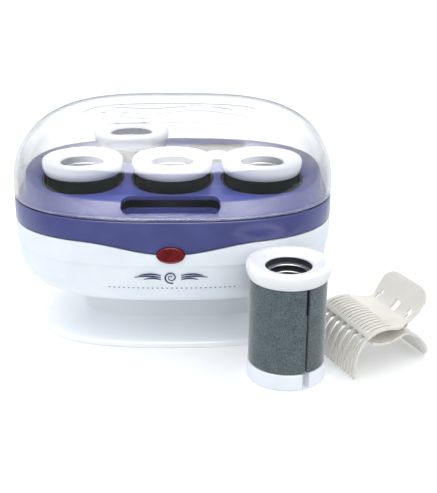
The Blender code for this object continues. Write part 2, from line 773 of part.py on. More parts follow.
def main():
    for obj in list(bpy.data.objects):
        bpy.data.objects.remove(obj, do_unlink=True)
    make_foot()
    make_foot_pads()
    make_base_screws()
    make_base_housing()
    make_cord_gland()
    make_top_tray()
    for name, (x, y, seat) in WELLS.items():
        make_well(name, x, y, seat)
    make_heater()
    make_indicator()
    make_lid()
    for name in SEATED:
        make_roller(name, WELLS[name], SEATED_SLOT_ANGLE)
    make_roller("loose", LOOSE_PLACE, LOOSE_SLOT_ANGLE)
    make_clip()


main()
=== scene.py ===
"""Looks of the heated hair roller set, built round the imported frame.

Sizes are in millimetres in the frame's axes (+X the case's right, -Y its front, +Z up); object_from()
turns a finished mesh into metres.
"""

from math import cos, degrees, dist, pi, radians, sin, tau

import bmesh
import bpy
import numpy as np
from mathutils import Matrix, Vector


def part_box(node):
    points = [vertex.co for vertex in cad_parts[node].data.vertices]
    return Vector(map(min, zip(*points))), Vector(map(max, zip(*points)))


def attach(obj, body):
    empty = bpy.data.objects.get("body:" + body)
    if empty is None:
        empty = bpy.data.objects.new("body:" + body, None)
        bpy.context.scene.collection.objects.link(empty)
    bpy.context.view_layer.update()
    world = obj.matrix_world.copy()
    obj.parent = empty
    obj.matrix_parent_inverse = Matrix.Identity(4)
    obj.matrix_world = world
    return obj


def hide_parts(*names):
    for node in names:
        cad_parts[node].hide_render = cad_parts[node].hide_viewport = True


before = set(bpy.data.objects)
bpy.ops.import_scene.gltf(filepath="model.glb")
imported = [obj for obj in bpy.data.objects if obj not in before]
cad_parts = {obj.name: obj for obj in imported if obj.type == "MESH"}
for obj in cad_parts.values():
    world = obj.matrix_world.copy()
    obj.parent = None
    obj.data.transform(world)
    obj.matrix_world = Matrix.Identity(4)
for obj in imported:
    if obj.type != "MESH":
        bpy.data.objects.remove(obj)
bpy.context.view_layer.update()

MM = 0.001
GAP = 0.3
CUT, JOIN = "DIFFERENCE", "UNION"  # what carve does with a tool


def span(node):
    """Lowest and highest corner of a CAD node, in millimetres."""
    low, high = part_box(node)
    return Vector(low) / MM, Vector(high) / MM


def middle(node):
    low, high = span(node)
    return (low + high) / 2.0


HOUSING_LOW, HOUSING_HIGH = span("base_housing")
TRAY_LOW, TRAY_HIGH = span("top_tray")
LID_LOW, LID_HIGH = span("lid")
FOOT_HIGH = span("foot")[1]
CASE_A = HOUSING_HIGH.x
CASE_B = -HOUSING_LOW.y
CASE_POWER = 2.59
CASE_SIDES = 176
WALL = 2.4
LID_BOTTOM = LID_LOW.z
RIM = LID_BOTTOM - 0.5
DECK = RIM + 8.2
DECK_RISE = TRAY_HIGH.z - DECK
RAMP_FRONT, RAMP_BACK = -42.0, 0.0
BAND_BOTTOM = 73.3
BAND_DIP = BAND_BOTTOM - TRAY_LOW.z
BAND_DIP_HALF = 52.0
LID_TOP = LID_HIGH.z - 0.3
LID_WALL = 2.2
LID_SQUARING = 0.9
SEATED = ["front_left", "front_centre", "front_right", "back_left"]
WELLS = SEATED + ["back_right"]
RING_BOTTOM = span("roller_loose_ring")[0].z
HINGE_X, HINGE_Y, HINGE_Z = middle("hinge_pin_right")
POCKET_LENGTH, POCKET_WIDTH, POCKET_Y, POCKET_FLOOR = 57.0, 14.4, -55.9, 84.4
LENS_LOW, LENS_HIGH = span("indicator_lens")
LENS_FLANGE = 1.2
LENS_HALF_X = (LENS_HIGH.x - LENS_LOW.x) / 2.0 - LENS_FLANGE
LENS_HALF_Z = (LENS_HIGH.z - LENS_LOW.z) / 2.0 - LENS_FLANGE
LENS_Z = (LENS_LOW.z + LENS_HIGH.z) / 2.0


# ---- shapes


def monotone(stations, steps):
    """Adds stations between the given ones, on a smooth curve that never overshoots them."""
    data = np.array(stations, float)
    gaps = np.linalg.norm(np.diff(data, axis=0), axis=1)
    slopes = np.diff(data, axis=0) / gaps[:, None]
    tangents = np.zeros_like(data)
    tangents[0], tangents[-1] = slopes[0], slopes[-1]
    for i in range(1, len(data) - 1):
        before, after = slopes[i - 1], slopes[i]
        w1, w2 = 2.0 * gaps[i] + gaps[i - 1], gaps[i] + 2.0 * gaps[i - 1]
        same = before * after > 0.0
        safe_before = np.where(same, before, 1.0)
        safe_after = np.where(same, after, 1.0)
        tangents[i] = np.where(same, (w1 + w2) / (w1 / safe_before + w2 / safe_after), 0.0)
    rows = []
    for i, gap in enumerate(gaps):
        for step in range(steps):
            t = step / steps
            a, b = 2 * t**3 - 3 * t**2 + 1, t**3 - 2 * t**2 + t
            c, d = -2 * t**3 + 3 * t**2, t**3 - t**2
            rows.append(a * data[i] + b * gap * tangents[i] + c * data[i + 1] + d * gap * tangents[i + 1])
    rows.append(data[-1])
    return [tuple(float(v) for v in row) for row in rows]


def rounded(profile, radius, closed=True):
    """Rounds the corners of a flat profile with short curves of about that radius."""
    steps = 3
    points = [Vector(p) for p in profile]
    made = []
    for i, point in enumerate(points):
        if not closed and i in (0, len(points) - 1):
            made.append(point)
            continue
        before, after = points[i - 1], points[(i + 1) % len(points)]
        reach = min(radius, 0.45 * (before - point).length, 0.45 * (after - point).length)
        start = point + (before - point).normalized() * reach
        stop = point + (after - point).normalized() * reach
        if (point - before).angle(after - point) < radians(12):
            made.append(point)
            continue
        for step in range(steps + 1):
            t = step / steps
            made.append(start * (1 - t) ** 2 + point * 2 * t * (1 - t) + stop * t**2)
    return [tuple(p) for p in made]


def skin(bm, rings, ends):
    """Skins rings of equal length.

    ends is 'caps' for flat ends, 'strips' for ends that bend with Y, 'loop' to join last to first.
    """
    made = [[bm.verts.new(point) for point in ring] for ring in rings]
    pairs = list(zip(made, made[1:]))
    if ends == "loop":
        pairs.append((made[-1], made[0]))
    for low, high in pairs:
        for i in range(len(low)):
            j = (i + 1) % len(low)
            bm.faces.new((low[i], low[j], high[j], high[i]))
    if ends == "caps":
        bm.faces.new(made[0])
        bm.faces.new(made[-1])
    if ends == "strips":
        for ring in (made[0], made[-1]):
            quarter = len(ring) // 4
            for i in range(-quarter, quarter):
                corners = (ring[i], ring[i + 1], ring[2 * quarter - i - 1], ring[2 * quarter - i])
                bm.faces.new(list(dict.fromkeys(corners)))


def lofted(rings, ends="caps"):
    bm = bmesh.new()
    skin(bm, rings, ends)
    return bm


def circle(radius, z, sides, centre=(0.0, 0.0)):
    angles = [tau * i / sides for i in range(sides)]
    return [(centre[0] + radius * cos(angle), centre[1] + radius * sin(angle), z) for angle in angles]


def turned(profile, sides=96, ends="loop", place=(0.0, 0.0, 0.0)):
    """A lathed solid from (radius, height) pairs."""
    return lofted([circle(r, place[2] + z, sides, place[:2]) for r, z in profile], ends)


def plan_radius(angle, half_x, half_y, power):
    across = (abs(cos(angle)) / half_x) ** power
    along = (abs(sin(angle)) / half_y) ** power
    return (across + along) ** (-1.0 / power)


def band_dip(x):
    """How far the band's lower edge dips towards the indicator lens."""
    if abs(x) >= BAND_DIP_HALF:
        return 0.0
    return BAND_DIP * 0.5 * (1.0 + cos(pi * x / BAND_DIP_HALF))


def oval(z, half_x, front, back=None, power=CASE_POWER, sides=CASE_SIDES, dip=0.0, front_power=None):
    """A superellipse ring whose front and back halves can differ in depth and squareness."""
    points = []
    for i in range(sides):
        angle = tau * i / sides
        ahead = sin(angle) < 0
        half_y = front if ahead or back is None else back
        radius = plan_radius(angle, half_x, half_y, front_power if ahead and front_power else power)
        x = radius * cos(angle)
        drop = dip * band_dip(x) if ahead else 0.0
        points.append((x, radius * sin(angle), z - drop))
    return points


def inset_oval(z, inset, dip=0.0):
    return oval(z, CASE_A - inset, CASE_B - inset, dip=dip)


def on_deck(ring):
    """The same ring, lifted where the deck climbs from its front to its back."""
    lifted = []
    for x, y, z in ring:
        climb = min(1.0, max(0.0, (y - RAMP_FRONT) / (RAMP_BACK - RAMP_FRONT)))
        lifted.append((x, y, z + DECK_RISE * climb * climb * (3.0 - 2.0 * climb)))
    return lifted


def pulled(outline, low, high):
    """An outline of (x, y) pairs pulled up from low to high."""
    return lofted([[(x, y, low) for x, y in outline], [(x, y, high) for x, y in outline]])


def pulled_along_x(outline, centre, half_width):
    """An outline of (y, z) pairs pulled half_width to both sides of X = centre."""
    return lofted([[(x, y, z) for y, z in outline] for x in (centre - half_width, centre + half_width)])


def half_circle(radius, start, centre=(0.0, 0.0), steps=16):
    """Points on a half circle that turns left from the angle start, in degrees."""
    points = []
    for i in range(steps + 1):
        angle = radians(start + 180.0 * i / steps)
        points.append((centre[0] + radius * cos(angle), centre[1] + radius * sin(angle)))
    return points


def stadium(length, width, arc_steps=14):
    """A slot outline centred on the origin, long in X."""
    straight = (length - width) / 2.0
    right = half_circle(width / 2.0, -90.0, (straight, 0.0), arc_steps)
    return right + half_circle(width / 2.0, 90.0, (-straight, 0.0), arc_steps)


def along_y(bm, x, z):
    """Lays a solid made along +Z down along +Y, through (x, z)."""
    bmesh.ops.rotate(bm, cent=(0, 0, 0), matrix=Matrix.Rotation(radians(-90), 3, "X"), verts=bm.verts)
    bmesh.ops.translate(bm, vec=(x, 0.0, z), verts=bm.verts)
    return bm


def along_x(bm, y, z, x):
    """Lays a solid made along +Z down along +X, through (x, y, z)."""
    bmesh.ops.rotate(bm, cent=(0, 0, 0), matrix=Matrix.Rotation(radians(90), 3, "Y"), verts=bm.verts)
    bmesh.ops.translate(bm, vec=(x, y, z), verts=bm.verts)
    return bm


# ---- pieces


def shade(mesh, angle):
    mesh.shade_smooth()
    mesh.set_sharp_from_angle(angle=radians(angle))


def new_object(name, data):
    obj = bpy.data.objects.new(name, data)
    bpy.context.scene.collection.objects.link(obj)
    return obj


def object_from(name, bm):
    """An object in metres from a solid in millimetres, with its faces turned outward."""
    bmesh.ops.recalc_face_normals(bm, faces=bm.faces)
    bmesh.ops.scale(bm, vec=Vector((MM, MM, MM)), verts=bm.verts)
    mesh = bpy.data.meshes.new(name)
    bm.to_mesh(mesh)
    bm.free()
    return new_object(name, mesh)


def carve(obj, tools):
    """Applies (operation, solid) pairs in turn and keeps the result as the piece's mesh."""
    helpers = []
    for operation, bm in tools:
        helper = object_from(obj.name + "_tool", bm)
        modifier = obj.modifiers.new("carve", "BOOLEAN")
        modifier.operation = operation
        modifier.object = helper
        helpers.append(helper)
    bake_modifiers(obj)
    for helper in helpers:
        bpy.data.objects.remove(helper)


def bake_modifiers(obj):
    graph = bpy.context.evaluated_depsgraph_get()
    mesh = bpy.data.meshes.new_from_object(obj.evaluated_get(graph))
    obj.modifiers.clear()
    obj.data = mesh


def soften(obj, width, segments=2):
    """Rounds the hard edges that are left."""
    bevel = obj.modifiers.new("soften", "BEVEL")
    bevel.width = width * MM
    bevel.segments = segments
    bevel.limit_method = "ANGLE"
    bevel.angle_limit = radians(50.0)
    bevel.harden_normals = True
    bevel.use_clamp_overlap = True
    bake_modifiers(obj)


def dress(obj, body, material, replaced=(), angle=40.0):
    """Gives a piece its finish, the body it moves with and the CAD nodes it stands for."""
    shade(obj.data, angle)
    obj.data.materials.clear()
    obj.data.materials.append(material)
    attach(obj, body)
    if replaced:
        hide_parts(*replaced)


# ---- finishes


def link(tree, a, b):
    tree.links.new(a, b)


def added(tree, kind):
    return tree.nodes.new("ShaderNode" + kind)


def feed(tree, value, socket):
    """Links a node's output to a socket, or sets the socket to a plain number."""
    if isinstance(value, float):
        socket.default_value = value
    else:
        link(tree, value, socket)


def combined(tree, operation, *values):
    node = added(tree, "Math")
    node.operation = operation
    for socket, value in zip(node.inputs, values):
        feed(tree, value, socket)
    return node.outputs["Value"]


def mixed(tree, factor, a, b):
    node = added(tree, "Mix")
    for name, value in (("Factor", factor), ("A", a), ("B", b)):
        feed(tree, value, node.inputs[name])
    return node.outputs["Result"]


def noise(tree, coords, size, detail, rough=0.5):
    """A noise pattern with features of about size, in millimetres."""
    node = added(tree, "TexNoise")
    node.inputs["Scale"].default_value = 1.0 / (size * MM)
    node.inputs["Detail"].default_value = detail
    node.inputs["Roughness"].default_value = rough
    link(tree, coords, node.inputs["Vector"])
    return node.outputs["Fac"]


def spread(tree, value, low, high, start=0.3, stop=0.7):
    """Maps a value from start..stop to low..high and holds it outside that range."""
    node = added(tree, "MapRange")
    limits = {"From Min": start, "From Max": stop, "To Min": low, "To Max": high}
    for socket, limit in limits.items():
        node.inputs[socket].default_value = limit
    link(tree, value, node.inputs["Value"])
    return node.outputs["Result"]


def tinted(tree, factor, first, second):
    node = added(tree, "Mix")
    node.data_type = "RGBA"
    node.inputs["A"].default_value = (*first, 1.0)
    node.inputs["B"].default_value = (*second, 1.0)
    link(tree, factor, node.inputs["Factor"])
    return node.outputs["Result"]


def bumped(tree, height, depth):
    node = added(tree, "Bump")
    node.inputs["Strength"].default_value = 1.0
    node.inputs["Distance"].default_value = depth * MM
    link(tree, height, node.inputs["Height"])
    return node.outputs["Normal"]


def finish(name, dark, light, roughness, patch=18.0, grain=0.5, depth=0.004, speckle=0.0, **sockets):
    """A moulded or metal finish: slow colour drift, changing gloss and a fine surface grain."""
    material = bpy.data.materials.new(name)
    material.use_nodes = True
    tree = material.node_tree
    shader = tree.nodes["Principled BSDF"]
    coords = added(tree, "TexCoord").outputs["Object"]
    drift = spread(tree, noise(tree, coords, patch, 4.0), 0.0, 1.0)
    fine = noise(tree, coords, grain, 3.0, 0.6)
    if speckle:
        drift = mixed(tree, speckle, drift, spread(tree, fine, 0.0, 1.0, 0.4, 0.6))
    link(tree, tinted(tree, drift, dark, light), shader.inputs["Base Color"])
    smears = spread(tree, noise(tree, coords, patch * 0.4, 5.0, 0.6), roughness[0], roughness[1])
    link(tree, smears, shader.inputs["Roughness"])
    link(tree, bumped(tree, fine, depth), shader.inputs["Normal"])
    for socket, value in sockets.items():
        shader.inputs[socket.replace("_", " ")].default_value = value
    return material


def painted_shading(material, axis, near, far, amount):
    """Paints shade into a finish, or light where amount is above 1: scales its colour along one object axis,
    from 1 at near to amount at far, in millimetres.

    Along X the distance from the middle counts, so both sides are painted alike.
    """
    tree = material.node_tree
    socket = tree.nodes["Principled BSDF"].inputs["Base Color"]
    colour = socket.links[0].from_socket
    parts = added(tree, "SeparateXYZ")
    link(tree, added(tree, "TexCoord").outputs["Object"], parts.inputs["Vector"])
    value = parts.outputs[axis]
    if axis == "X":
        value = combined(tree, "ABSOLUTE", value)
    factor = spread(tree, value, 1.0, amount, near * MM, far * MM)
    scaled = added(tree, "VectorMath")
    scaled.operation = "SCALE"
    link(tree, colour, scaled.inputs["Vector"])
    link(tree, factor, scaled.inputs["Scale"])
    link(tree, scaled.outputs["Vector"], socket)


def srgb(r, g, b):
    """Linear colour from 8-bit sRGB."""
    return tuple((v / 255 / 12.92) if v <= 10 else (((v / 255) + 0.055) / 1.055) ** 2.4 for v in (r, g, b))


def clear_finish():
    """Clear lid plastic. Shadow and diffuse rays pass straight through, so the inside stays lit."""
    material = finish(
        "clear_polished", (0.925, 0.926, 0.929), (0.94, 0.941, 0.944), (0.0, 0.03), patch=40.0, grain=9.0,
        depth=0.012, Transmission_Weight=1.0, IOR=1.49,
    )
    tree = material.node_tree
    shader = tree.nodes["Principled BSDF"]
    output = tree.nodes["Material Output"]
    path = added(tree, "LightPath")
    either = combined(tree, "MAXIMUM", path.outputs["Is Shadow Ray"], path.outputs["Is Diffuse Ray"])
    through = added(tree, "BsdfTransparent")
    through.inputs["Color"].default_value = (0.955, 0.96, 0.97, 1.0)
    both = added(tree, "MixShader")
    link(tree, either, both.inputs["Fac"])
    link(tree, shader.outputs["BSDF"], both.inputs[1])
    link(tree, through.outputs["BSDF"], both.inputs[2])
    link(tree, both.outputs["Shader"], output.inputs["Surface"])
    return material


SATIN = {"Coat_Weight": 0.15, "Coat_Roughness": 0.12}
RING_GLOSS = {"grain": 0.7, "Coat_Weight": 0.2, "Coat_Roughness": 0.1}
WHITE = finish("white_moulded", srgb(228, 235, 242), srgb(236, 241, 247), (0.3, 0.42), **SATIN,
               Subsurface_Weight=0.08, Subsurface_Scale=0.002)
# Painted light and shade: the foot wears a lighter copy of the housing's white, and painted shade darkens it
# from 7.2 mm up, over the neck.
FOOT_WHITE = finish("white_foot", srgb(244, 248, 252), srgb(249, 252, 254), (0.3, 0.42), **SATIN)
painted_shading(FOOT_WHITE, "Z", 7.2, 9.8, 0.82)
# Painted shade: the loose ring's colour darkens towards its underside.
RING_WHITE = finish("white_ring", srgb(240, 242, 245), srgb(246, 247, 249), (0.26, 0.36), **RING_GLOSS)
painted_shading(RING_WHITE, "Z", RING_BOTTOM + 7.6, RING_BOTTOM + 1.0, 0.82)
# Painted shade: the seated rings' colour darkens strongly low down, where they sit in the wells.
RING_SEATED = finish("white_ring_seated", srgb(241, 243, 247), srgb(247, 248, 251), (0.26, 0.36),
                     **RING_GLOSS)
painted_shading(RING_SEATED, "Z", RING_BOTTOM + 4.8, RING_BOTTOM + 0.4, 0.5)
PURPLE = finish("blue_violet", srgb(73, 77, 131), srgb(81, 85, 141), (0.16, 0.26), grain=0.6, depth=0.004,
                Specular_IOR_Level=0.35, Coat_Weight=0.35, Coat_Roughness=0.05)
# Painted shade: a dark copy of the blue-violet for the seam under the lid and the band's lower lip.
PURPLE_PAINTED_SHADE = finish("blue_violet_painted_shade", srgb(26, 29, 56), srgb(36, 40, 74), (0.4, 0.5), grain=0.6,
                      Specular_IOR_Level=0.2)
# Painted shade: a dark copy of the blue-violet for the pocket, painted lighter again towards its floor.
PURPLE_POCKET = finish("blue_violet_pocket", srgb(34, 38, 66), srgb(42, 47, 80), (0.4, 0.5), grain=0.6,
                       Specular_IOR_Level=0.2)
painted_shading(PURPLE_POCKET, "Z", DECK - 4.0, DECK - 7.0, 14.0)
# Painted light: a lighter copy of the blue-violet for the sloping front.
PURPLE_SLOPE = finish("blue_violet_slope", srgb(80, 85, 142), srgb(92, 97, 158), (0.14, 0.3), patch=30.0,
                      grain=24.0, depth=0.45, Specular_IOR_Level=0.5, Coat_Weight=0.4, Coat_Roughness=0.05)
# Painted light and shade: a lighter copy of the blue-violet for the deck's top, painted darker towards its
# sides and back.
PURPLE_DECK = finish("blue_violet_deck", srgb(92, 99, 176), srgb(100, 107, 187), (0.3, 0.4), grain=0.6,
                     depth=0.004, Specular_IOR_Level=0.25)
painted_shading(PURPLE_DECK, "X", 66.0, 84.0, 0.45)
painted_shading(PURPLE_DECK, "Y", -22.0, 20.0, 0.4)
CLEAR = clear_finish()
# Painted shade: the lid's clear plastic darkens towards its sides.
painted_shading(CLEAR, "X", 80.0, 97.0, 0.64)
FLOCK_LOOSE = finish("flock_grey", srgb(46, 56, 58), srgb(106, 119, 122), (0.92, 1.0), patch=7.0, grain=0.5,
                     depth=0.12, speckle=0.75, Sheen_Weight=0.8, Sheen_Roughness=0.35)
# Painted shade: a much darker copy of the flock for the seated rollers.
FLOCK_SEATED_PAINTED_SHADE = finish("flock_painted_shade", srgb(4, 7, 7), srgb(21, 28, 25), (0.92, 1.0), patch=7.0, grain=0.6,
                      depth=0.16, speckle=0.85, Specular_IOR_Level=0.2)
DARK = finish("dark_moulded", srgb(20, 20, 27), srgb(34, 34, 43), (0.38, 0.55), depth=0.01)
# Painted shade: grey for the sheets down the seated rings' holes.
THROAT_PAINTED_SHADE = finish("grey_painted_shade", srgb(128, 134, 144), srgb(146, 151, 160), (0.3, 0.45), depth=0.01)
ALUMINIUM = finish("satin_aluminium", srgb(176, 178, 186), srgb(206, 208, 214), (0.28, 0.42), patch=3.0,
                   grain=0.3, Metallic=1.0)
STEEL = finish("plated_steel", srgb(176, 176, 180), srgb(206, 206, 210), (0.2, 0.38), patch=2.5, grain=0.3,
               Metallic=1.0)
RUBBER = finish("rubber_pad", srgb(46, 46, 48), srgb(66, 66, 68), (0.75, 0.95), grain=0.4, depth=0.03)
RED = finish("red_lens", srgb(84, 10, 16), srgb(122, 22, 28), (0.22, 0.34), patch=4.0, grain=1.2,
             Specular_IOR_Level=0.3)
LAMP = finish("lamp_glass", srgb(236, 176, 140), srgb(246, 205, 176), (0.05, 0.12), patch=2.0,
              Transmission_Weight=0.5)
CREAM = finish("cream_moulded", srgb(217, 214, 206), srgb(229, 226, 219), (0.3, 0.45), grain=0.6,
               Subsurface_Weight=0.12, Subsurface_Scale=0.0012)
INK = finish("navy_ink", srgb(44, 48, 92), srgb(62, 66, 112), (0.4, 0.6), patch=2.0)

# Nodes that keep their CAD shape and only get a finish.
KEPT = {
    "heater_plate": ALUMINIUM,
    "heating_element": STEEL,
    "thermostat": DARK,
    "thermal_fuse": STEEL,
    "indicator_lamp": LAMP,
}
for node, material in KEPT.items():
    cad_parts[node].data.materials.clear()
    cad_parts[node].data.materials.append(material)


# ---- case


def make_foot():
    a, b, top = FOOT_HIGH.x, FOOT_HIGH.y, FOOT_HIGH.z
    neck_a, neck_b, power, sides = 57.0, 30.0, 2.7, 144
    outer = [(0.0, 0.035), (0.3, 0.012), (1.0, 0.0), (2.8, 0.0), (3.9, 0.035), (4.5, 0.12), (5.2, 0.36)]
    outer += [(6.4, 0.7), (7.8, 0.92), (9.0, 0.975), (12.0, 0.99), (17.0, 0.995), (top, 1.0)]
    rings = []
    for z, inward in monotone(outer, 4):
        half_x, half_y = a + (neck_a - a) * inward, b + (neck_b - b) * inward
        rings.append(oval(z, half_x, half_y, power=power, sides=sides))
    for z, inset in ((top, 2.6), (top - 0.4, 3.0), (3.6, 3.4), (3.2, 3.8)):
        rings.append(oval(z, neck_a - inset, neck_b - inset, power=power, sides=sides))
    foot = object_from("foot_shell", lofted(rings))
    tools = []
    for number in range(1, 5):
        x, y, _ = middle(f"foot_pad_{number}")
        tools.append((CUT, turned([(6.3, -1.0), (6.3, 1.5)], 48, "caps", (x, y, 0.0))))
        x, y, _ = middle(f"base_screw_{number}")
        hole = [(4.3, -1.0), (4.0, 0.3), (4.0, 1.9), (2.0, 1.9), (2.0, 4.2)]
        tools.append((CUT, turned(hole, 32, "caps", (x, y, 0.0))))
    carve(foot, tools)
    dress(foot, "case", FOOT_WHITE, ["foot"], 30.0)


def make_underside():
    for number in range(1, 5):
        x, y, _ = middle(f"foot_pad_{number}")
        profile = [(0.3, 0.5), (3.6, 0.5), (4.2, 0.0), (5.7, 0.0), (6.0, 0.4), (6.0, 1.2), (0.3, 1.2)]
        pad = object_from(f"pad_{number}", turned(rounded(profile, 0.25), 48, "caps", (x, y, 0.0)))
        dress(pad, "case", RUBBER, [f"foot_pad_{number}"])
        x, y, _ = middle(f"base_screw_{number}")
        profile = [(0.4, 1.0), (1.1, 0.9), (1.3, 0.4), (3.0, 0.45), (3.5, 0.9), (3.5, 1.5), (1.5, 1.5)]
        for turn in range(12):
            profile += [(1.5, 2.0 + turn), (1.15, 2.5 + turn)]
        profile.append((0.3, 15.4))
        screw = object_from(f"screw_{number}", turned(profile, 24, "caps", (x, y, 0.0)))
        slots = []
        for half_x, half_y in ((2.0, 0.4), (0.4, 2.0)):
            corners = [(-half_x, -half_y), (half_x, -half_y), (half_x, half_y), (-half_x, half_y)]
            slots.append((CUT, pulled([(x + u, y + v) for u, v in corners], 0.2, 1.3)))
        carve(screw, slots)
        dress(screw, "case", STEEL, [f"base_screw_{number}"])


def lens_ring(y, grow, sides):
    """An oval ring round the indicator's middle, larger than its window by grow."""
    half_x, half_z = LENS_HALF_X + grow, LENS_HALF_Z + grow
    angles = [tau * i / sides for i in range(sides)]
    return [(half_x * cos(angle), y, LENS_Z + half_z * sin(angle)) for angle in angles]


def lens_window():
    """The tool that cuts the indicator's window."""
    return lofted([lens_ring(y, GAP, 48) for y in (-74.0, -62.0)])


def hinge_bore(side):
    """The tool that bores a lug, or the ears beside it, for the pin."""
    radius, reach = 1.9, 12.0
    bore = turned([(radius, -reach), (radius, reach)], 32, "caps")
    return along_x(bore, HINGE_Y, HINGE_Z, side * HINGE_X)


# The housing's wall below the band, as (height, inset) stations.
BOWL = [(29.0, 24.0), (29.25, 22.0), (30.2, 19.2), (33.8, 11.6), (40.0, 5.8), (48.0, 2.2), (60.0, 0.4)]


def make_housing():
    top = BAND_BOTTOM - GAP
    rings = [inset_oval(z, inset) for z, inset in monotone(BOWL + [(top - 6.5 - BAND_DIP, 0.08)], 5)]
    for z, inset, dip in ((top - 5.0, 0.0, 1.0), (top - 0.55, 0.0, 1.0), (top - 0.16, 0.16, 1.0),
                          (top, 0.55, 1.0), (top, WALL, 1.0)):
        rings.append(inset_oval(z, inset, dip=dip))
    inner = [(60.0, 2.8), (48.0, 4.7), (40.6, 8.4), (34.8, 14.2), (31.6, 20.8), (31.0, 25.0)]
    rings += [inset_oval(z, inset) for z, inset in monotone(inner, 3)]
    housing = object_from("housing_shell", lofted(rings))
    gland = middle("cord_gland")
    tools = [
        (CUT, lens_window()),
        (CUT, along_y(turned([(5.3, 55.0), (5.3, 80.0)], 40, "caps"), gland.x, gland.z)),
    ]
    for number in range(1, 5):
        x, y, _ = middle(f"base_screw_{number}")
        tools.append((JOIN, turned([(4.5, 3.7), (4.5, 30.4)], 32, "caps", (x, y, 0.0))))
        tools.append((CUT, turned([(1.9, 2.0), (1.9, 20.0)], 24, "caps", (x, y, 0.0))))
    carve(housing, tools)
    dress(housing, "case", WHITE, ["base_housing"], 30.0)


# The tray's sloping front: height, half width, depth in front and behind, squareness in front.
SLOPE = [
    (91.0, 92.3, 62.2, 66.2, 2.45),
    (93.6, 91.4, 59.2, 65.2, 2.38),
    (94.7, 90.6, 57.9, 64.2, 2.36),
    (DECK - 0.02, 89.3, 56.2, 62.9, 2.35),
    (DECK, 88.6, 55.4, 62.2, 2.35),
]


def pocket_outline():
    """The pocket's mouth: round-ended as measured along the surface it opens in."""
    section = [(-65.2, RIM + 1.4)] + [(-front, z) for z, _, front, _, _ in SLOPE] + [(-40.0, DECK)]
    along = [0.4 * y + 0.9 * z for y, z in section]
    back, front = POCKET_Y + POCKET_WIDTH / 2.0 + 1.2, POCKET_Y - POCKET_WIDTH / 2.0
    ys = [y for y, _ in section]
    high, low = np.interp(back, ys, along), np.interp(front, ys, along)
    outline = []
    for x, v in stadium(POCKET_LENGTH, high - low, 20):
        outline.append((x, float(np.interp((high + low) / 2.0 + v, along, ys))))
    return outline


def make_tray():
    """The coloured moulding: band, rim, ledge, sloping front and deck."""
    bottom = BAND_BOTTOM
    rings = [oval(84.4, 90.4, 64.2, 64.2), inset_oval(84.4, WALL)]
    edge = [(bottom, WALL), (bottom, 0.55), (bottom + 0.16, 0.16), (bottom + 0.55, 0.0)]
    rings += [inset_oval(z, inset, 1.0) for z, inset in edge]
    side = [(80.5, 0.0), (84.6, 0.0), (85.8, 0.1), (86.5, 0.38), (86.9, 0.8), (RIM, 1.3), (RIM, 2.7)]
    rings += [inset_oval(z, inset) for z, inset in side]
    rings += [oval(RIM + 0.25, CASE_A - 3.3, CASE_B - 3.3), oval(RIM + 1.4, 92.6, 65.2, 66.5)]
    rings += [oval(91.0, 92.3, 62.2, 66.2, front_power=2.45)]
    for z, a, front, back, power in monotone(SLOPE, 3)[1:]:
        rings.append(on_deck(oval(z, a, front, back, front_power=power)))
    under = [on_deck(oval(92.8, 87.6, 54.4, 61.2, front_power=2.35)), oval(88.4, 90.0, 60.6, 63.8)]
    tray = object_from("tray_shell", lofted(under + rings, "strips"))
    tools = []
    for name in WELLS:
        low, high = span(f"well_liner_{name}")
        x, y = (low.x + high.x) / 2.0, (low.y + high.y) / 2.0
        radius = (high.x - low.x) / 2.0 + GAP
        tools.append((CUT, turned([(radius, 80.0), (radius, 104.0)], 96, "caps", (x, y, 0.0))))
    tub = [(x, POCKET_Y + 0.4 + y) for x, y in stadium(POCKET_LENGTH + 4.0, POCKET_WIDTH + 3.0)]
    hollow = pocket_outline()
    tools.append((JOIN, pulled(tub, POCKET_FLOOR - 2.0, RIM + 1.0)))
    tools.append((CUT, pulled(hollow, POCKET_FLOOR, 100.0)))
    tools.append((CUT, lens_window()))
    for side in (-1, 1):
        tools += [(JOIN, hinge_lug(side)), (CUT, hinge_bore(side))]
    carve(tray, tools)
    soften(tray, 0.45, 3)
    dress(tray, "case", PURPLE, ["top_tray"], 30.0)
    for material in TRAY_FINISHES[1:]:
        tray.data.materials.append(material)
    mouth = [Vector(point) for point in hollow]
    for face in tray.data.polygons:
        face.material_index = TRAY_FINISHES.index(tray_finish(face, mouth))


TRAY_FINISHES = (PURPLE, PURPLE_PAINTED_SHADE, PURPLE_DECK, PURPLE_POCKET, PURPLE_SLOPE)


def tray_finish(face, mouth):
    """The finish a face of the tray wears, by where it lies and how it faces: painted shade or painted light
    beside the plain blue-violet.
    """
    x, y, z = face.center / MM
    # Painted shade in the pocket, lighter towards its floor.
    if abs(x) < POCKET_LENGTH / 2.0 + 0.1 and abs(y - POCKET_Y) < POCKET_WIDTH / 2.0 + 1.0:
        if z < POCKET_FLOOR + 0.6 or min((Vector((x, y)) - point).length for point in mouth) < 0.1:
            return PURPLE_POCKET
    plan = (abs(x / CASE_A) ** CASE_POWER + abs(y / CASE_B) ** CASE_POWER) ** (1.0 / CASE_POWER)
    depth = (1.0 - plan) * CASE_B
    # Painted shade along the seam under the lid and along the band's lower lip.
    on_rim = abs(z - RIM) < 0.3 and depth < 1.1
    on_lip = face.normal.z < -0.25 and depth < 0.4
    if on_rim or on_lip:
        return PURPLE_PAINTED_SHADE
    # Painted light: lighter copies of the blue-violet on the deck's top and on the slope.
    if z > DECK - 0.4 and face.normal.z > 0.7:
        return PURPLE_DECK
    if z > RIM + 1.0 and face.normal.z > 0.2:
        return PURPLE_SLOPE
    return PURPLE


def hinge_lug(side):
    """A round-topped lug behind the rim."""
    radius = 3.3
    outline = half_circle(radius, 0.0, (HINGE_Y, HINGE_Z))
    outline += [(HINGE_Y - radius, 86.2), (67.0, 86.2), (67.0, 78.0), (69.5, 78.0), (HINGE_Y + radius, 84.0)]
    return pulled_along_x(outline, side * HINGE_X, 5.5)


